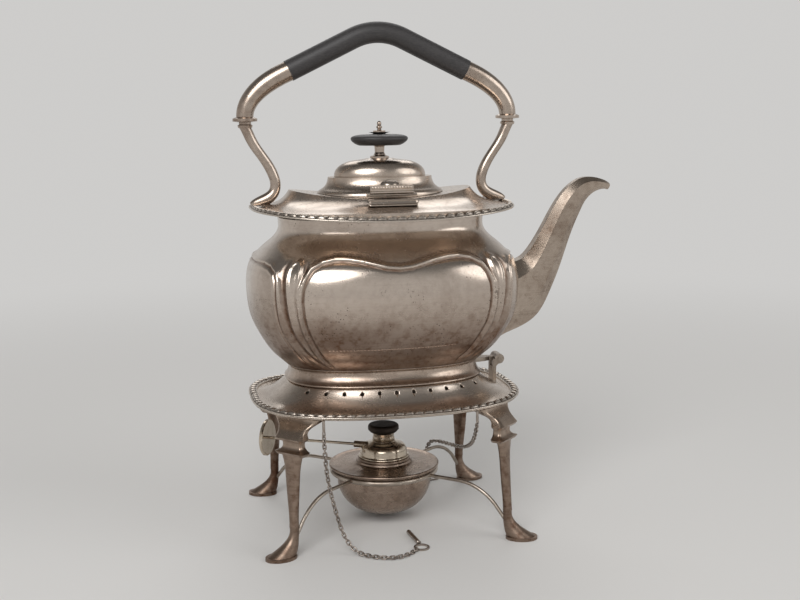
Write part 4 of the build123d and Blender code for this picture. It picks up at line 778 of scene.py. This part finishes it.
dress(grip_wood, "handle_grip", "lid_knob")


# Lid: a stepped oval cover, hinged in front, with a turned stem under its knob and a small
# screwed finial on top.
dress(plate_silver, "lid_shell")
dress(fitting_silver, "lid_hinge_pin")


def block(bm, middle, size, corner, steps=4, axis="y"):
    """Adds a block in mm with its corners rounded about one axis, and returns its faces."""
    place = Matrix.Translation((MIDDLE + middle[0] / 1000, middle[1] / 1000, middle[2] / 1000))
    known = set(bm.faces)
    scale = Matrix.Diagonal((*(v / 1000 for v in size), 1.0))
    made = bmesh.ops.create_cube(bm, size=1.0, matrix=place @ scale)
    number = "xyz".index(axis)
    edges = {edge for vert in made["verts"] for edge in vert.link_edges}
    edges = [edge for edge in edges if abs((edge.verts[0].co - edge.verts[1].co).normalized()[number]) > 0.9]
    bmesh.ops.bevel(bm, geom=edges, offset=corner / 1000, affect="EDGES", segments=steps, profile=0.5,
                    material=-1)
    return [face for face in bm.faces if face not in known]


# The kettle's half of the hinge is a small tray with a raised lip, soldered on the shelf.
# It leans back from its foot.
TRAY_FOOT, TRAY_LEAN = 0.2225, 0.55
TRAY_LIP, TRAY_SLOPE, TRAY_DEEP, LIP_ROUND = 0.0009, 0.0003, 0.0008, 0.00025
bm = bmesh.new()
faces = block(bm, (0.0, -46.1, 224.1), (32.8, 3.6, 4.2), 1.9)
front_face = min(faces, key=lambda face: face.calc_center_median().y)
bmesh.ops.inset_region(bm, faces=[front_face], thickness=TRAY_LIP, depth=0.0)
bmesh.ops.inset_region(bm, faces=[front_face], thickness=TRAY_SLOPE, depth=-TRAY_DEEP)
for vertex in bm.verts:
    vertex.co.y += TRAY_LEAN * max(0.0, vertex.co.z - TRAY_FOOT)
rim_edges = [edge for edge in bm.edges if edge.calc_face_angle(0) > radians(50)]
bmesh.ops.bevel(bm, geom=rim_edges, offset=LIP_ROUND, affect="EDGES", segments=2, profile=0.5, material=-1)
block(bm, (0.0, -42.2, 223.6), (27.0, 4.4, 3.2), 0.6)
hinge_tray = keep_mesh("hinge_tray", bm, smooth=False)
hinge_tray.data.materials.append(plate_silver)
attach(hinge_tray, "kettle")
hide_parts("lid_hinge_box")

# The lid's half is a beaded strip over a rounded bar, with an arched shell lying on the lid.
# Its faces above FLAT_FACE (in square metres) are the flat sides of its blocks.
FLAT_FACE = 3e-6
BEADS, BEAD_PITCH = 15, 0.00178
ARCH_LEAN = Matrix.Rotation(radians(48), 4, "X")
bm = bmesh.new()
block(bm, (0.0, -39.9, 233.0), (28.4, 3.4, 3.6), 0.9)
block(bm, (0.0, -41.3, 230.4), (28.6, 2.6, 1.7), 0.7, axis="x")
block(bm, (0.0, -38.2, 231.6), (22.0, 5.0, 2.2), 0.6)
for number in range(BEADS):
    place = Matrix.Translation((MIDDLE + (number - BEADS // 2) * BEAD_PITCH, -0.0416, 0.2332))
    bmesh.ops.create_uvsphere(bm, u_segments=10, v_segments=6, radius=1.0,
                              matrix=place @ Matrix.Diagonal((0.00078, 0.0006, 0.00115, 1.0)))
for segments, y, z, size in ((24, -0.0352, 0.2344, (0.0066, 0.0046, 0.0012)),
                             (20, -0.0358, 0.2352, (0.0042, 0.0028, 0.0013))):
    place = Matrix.Translation((MIDDLE, y, z)) @ ARCH_LEAN
    bmesh.ops.create_uvsphere(bm, u_segments=segments, v_segments=10, radius=1.0,
                              matrix=place @ Matrix.Diagonal((*size, 1.0)))
hinge_shell = keep_mesh("hinge_shell", bm)
for face in hinge_shell.data.polygons:
    face.use_smooth = face.area < FLAT_FACE
hinge_shell.data.materials.append(plate_silver)
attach(hinge_shell, "lid")
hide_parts("lid_hinge_leaf")
dress(handle_silver, "knob_stem", "knob_finial")


# Spirit lamp: a spun bowl under a wide rolled cover, a bright domed burner and its wick
# tube, with a sooty cap on top and a regulator that winds the wick.
lamp_silver = silver("lamp_silver", (0.36, 0.28, 0.225), (0.10, 0.06, 0.042), 0.8, 0.2, 0.5)
burner_silver = silver("burner_silver", (0.60, 0.52, 0.42), (0.14, 0.085, 0.05), 0.5, 0.1, 0.3, bump=0.00003)
dress(lamp_silver, "lamp_bowl")
COVER_PROFILE = (
    (33.0, 36.4), (37.0, 36.4), (37.3, 36.7), (37.3, 37.4), (38.0, 37.5), (38.4, 37.9), (38.5, 38.4),
    (38.3, 38.9), (37.8, 39.2), (37.1, 39.1), (36.2, 38.7), (34.0, 38.6), (28.0, 38.9), (22.0, 39.5),
    (20.4, 39.9), (19.6, 40.3), (19.3, 40.7), (19.4, 41.3), (19.0, 41.8), (18.2, 42.0), (18.0, 42.4),
    (18.3, 42.9), (17.8, 43.3), (15.0, 43.3), (15.0, 42.0), (18.0, 40.0), (26.0, 37.8), (33.0, 37.4),
)
DOME_PROFILE = (
    (15.0, 43.4), (17.3, 43.4), (17.7, 43.7), (17.7, 44.4), (17.2, 44.8), (16.5, 45.0), (16.4, 45.6),
    (16.3, 47.6), (16.0, 49.2), (15.4, 50.6), (14.4, 51.8), (13.0, 52.6), (11.4, 53.1), (9.9, 53.4),
    (8.7, 53.8), (8.0, 54.5), (7.9, 55.4), (5.4, 55.4), (5.4, 54.4), (9.0, 52.2), (13.0, 50.8),
    (14.8, 48.4), (15.0, 46.0),
)


def turned_round(name, profile, segments=128):
    """A piece spun about the middle line from a closed profile of radius and height in mm."""
    def place(turn, row):
        reach, z = profile[row]
        return MIDDLE + reach * cos(turn) / 1000, reach * sin(turn) / 1000, z / 1000

    return ring_rows(name, segments, len(profile), place, closed=True)


cover_skin = turned_round("cover_skin", COVER_PROFILE)
cover_skin.data.materials.append(lamp_silver)
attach(cover_skin, "lamp")
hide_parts("lamp_cover")
dome_skin = turned_round("dome_skin", DOME_PROFILE)
dome_skin.data.materials.append(burner_silver)
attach(dome_skin, "lamp")
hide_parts("burner_dome")
dress(burner_silver, "wick_tube", "regulator_gland", "regulator_rod", "regulator_knob", "wick_carrier")
dress(soot_and_painted_shade, "snuffer_cap")
wick_cotton, tree, shader = new_finish("wick_cotton")
shader.inputs["Roughness"].default_value = 0.95
place = tree.nodes.new("ShaderNodeTexCoord")
braid = tree.nodes.new("ShaderNodeTexWave")
braid.inputs["Scale"].default_value = 420.0
braid.inputs["Distortion"].default_value = 3.0
braid.bands_direction = "DIAGONAL"
tree.links.new(place.outputs["Object"], braid.inputs["Vector"])
shade = tree.nodes.new("ShaderNodeValToRGB")
shade.color_ramp.elements[0].color = (0.42, 0.36, 0.27, 1)
shade.color_ramp.elements[1].color = (0.74, 0.69, 0.58, 1)
tree.links.new(braid.outputs["Fac"], shade.inputs["Fac"])
tree.links.new(shade.outputs["Color"], shader.inputs["Base Color"])
weave = tree.nodes.new("ShaderNodeBump")
weave.inputs["Distance"].default_value = 0.0002
tree.links.new(braid.outputs["Fac"], weave.inputs["Height"])
tree.links.new(weave.outputs["Normal"], shader.inputs["Normal"])
dress(wick_cotton, "wick")


# The floor is a plain pale sheet that fades into the backdrop, and soft lamps light the
# kettle from above on both sides. The backdrop is darker overhead, for the metal to mirror.
FLOOR_RADIUS = 4.0
FADE_START, FADE_END = 0.35, 1.3
scene = bpy.context.scene
scene.view_settings.view_transform = "Standard"
bm = bmesh.new()
bmesh.ops.create_circle(bm, cap_ends=True, segments=96, radius=FLOOR_RADIUS)
floor_sheet = keep_mesh("floor", bm, smooth=False)
floor_paint, tree, shader = new_finish("floor_paint")
shader.inputs["Base Color"].default_value = (0.68, 0.67, 0.655, 1)
shader.inputs["Roughness"].default_value = 0.8
BACKDROP = (0.83, 0.82, 0.805, 1)
BACKDROP_LEVEL, OVERHEAD_LEVEL, SKY_LIGHT = 0.74, 0.20, 0.42
OVERHEAD_START, OVERHEAD_END = 0.12, 0.75
LAMP_AIM = Vector((MIDDLE, 0, 0.15))


def seen_directly(tree):
    """1 for what the camera sees, straight or in metal or through glass, and 0 for light on the object."""
    rays = tree.nodes.new("ShaderNodeLightPath")
    camera_or_glossy = greater(tree, rays.outputs["Is Camera Ray"], rays.outputs["Is Glossy Ray"])
    return greater(tree, camera_or_glossy, rays.outputs["Is Transmission Ray"])


def mix_shaders(tree, share, first, second, output):
    """Shows the second shader by a share, over the first."""
    mixed = tree.nodes.new("ShaderNodeMixShader")
    tree.links.new(share, mixed.inputs["Fac"])
    tree.links.new(first.outputs[0], mixed.inputs[1])
    tree.links.new(second.outputs[0], mixed.inputs[2])
    tree.links.new(mixed.outputs[0], tree.nodes[output].inputs["Surface"])


place = tree.nodes.new("ShaderNodeTexCoord")
reach = tree.nodes.new("ShaderNodeVectorMath")
reach.operation = "LENGTH"
tree.links.new(place.outputs["Object"], reach.inputs[0])
fade = tree.nodes.new("ShaderNodeMapRange")
fade.interpolation_type = "SMOOTHSTEP"
fade.inputs["From Min"].default_value = FADE_START
fade.inputs["From Max"].default_value = FADE_END
tree.links.new(reach.outputs["Value"], fade.inputs["Value"])
share = tree.nodes.new("ShaderNodeMath")
share.operation = "MULTIPLY"
tree.links.new(fade.outputs["Result"], share.inputs[0])
tree.links.new(seen_directly(tree), share.inputs[1])
glow = tree.nodes.new("ShaderNodeEmission")
glow.inputs["Color"].default_value = BACKDROP
glow.inputs["Strength"].default_value = BACKDROP_LEVEL
mix_shaders(tree, share.outputs[0], shader, glow, "Material Output")
floor_sheet.data.materials.append(floor_paint)

world = bpy.data.worlds.new("studio")
scene.world = world
world.use_nodes = True
tree = world.node_tree
base = tree.nodes["Background"]
base.inputs["Color"].default_value = BACKDROP
base.inputs["Strength"].default_value = SKY_LIGHT
seen = tree.nodes.new("ShaderNodeBackground")
seen.inputs["Color"].default_value = BACKDROP
sky = tree.nodes.new("ShaderNodeTexCoord")
upward = tree.nodes.new("ShaderNodeSeparateXYZ")
tree.links.new(sky.outputs["Generated"], upward.inputs["Vector"])
dim = tree.nodes.new("ShaderNodeMapRange")
dim.interpolation_type = "SMOOTHSTEP"
dim.inputs["From Min"].default_value = OVERHEAD_START
dim.inputs["From Max"].default_value = OVERHEAD_END
dim.inputs["To Min"].default_value = BACKDROP_LEVEL
dim.inputs["To Max"].default_value = OVERHEAD_LEVEL
tree.links.new(upward.outputs["Z"], dim.inputs["Value"])
tree.links.new(dim.outputs["Result"], seen.inputs["Strength"])
mix_shaders(tree, seen_directly(tree), base, seen, "World Output")
for name, place, size, power in (
    ("key_lamp", (-0.75, -1.55, 1.45), 1.5, 27.0),
    ("fill_lamp", (1.7, -1.1, 1.2), 1.6, 11.0),
    ("back_lamp", (0.3, 1.8, 1.9), 1.8, 13.0),
):
    lamp = bpy.data.objects.new(name, bpy.data.lights.new(name, "AREA"))
    lamp.data.energy = power
    lamp.data.shape = "DISK"
    lamp.data.size = size
    lamp.location = place
    lamp.rotation_euler = (LAMP_AIM - Vector(place)).to_track_quat("-Z", "Y").to_euler()
    scene.collection.objects.link(lamp)
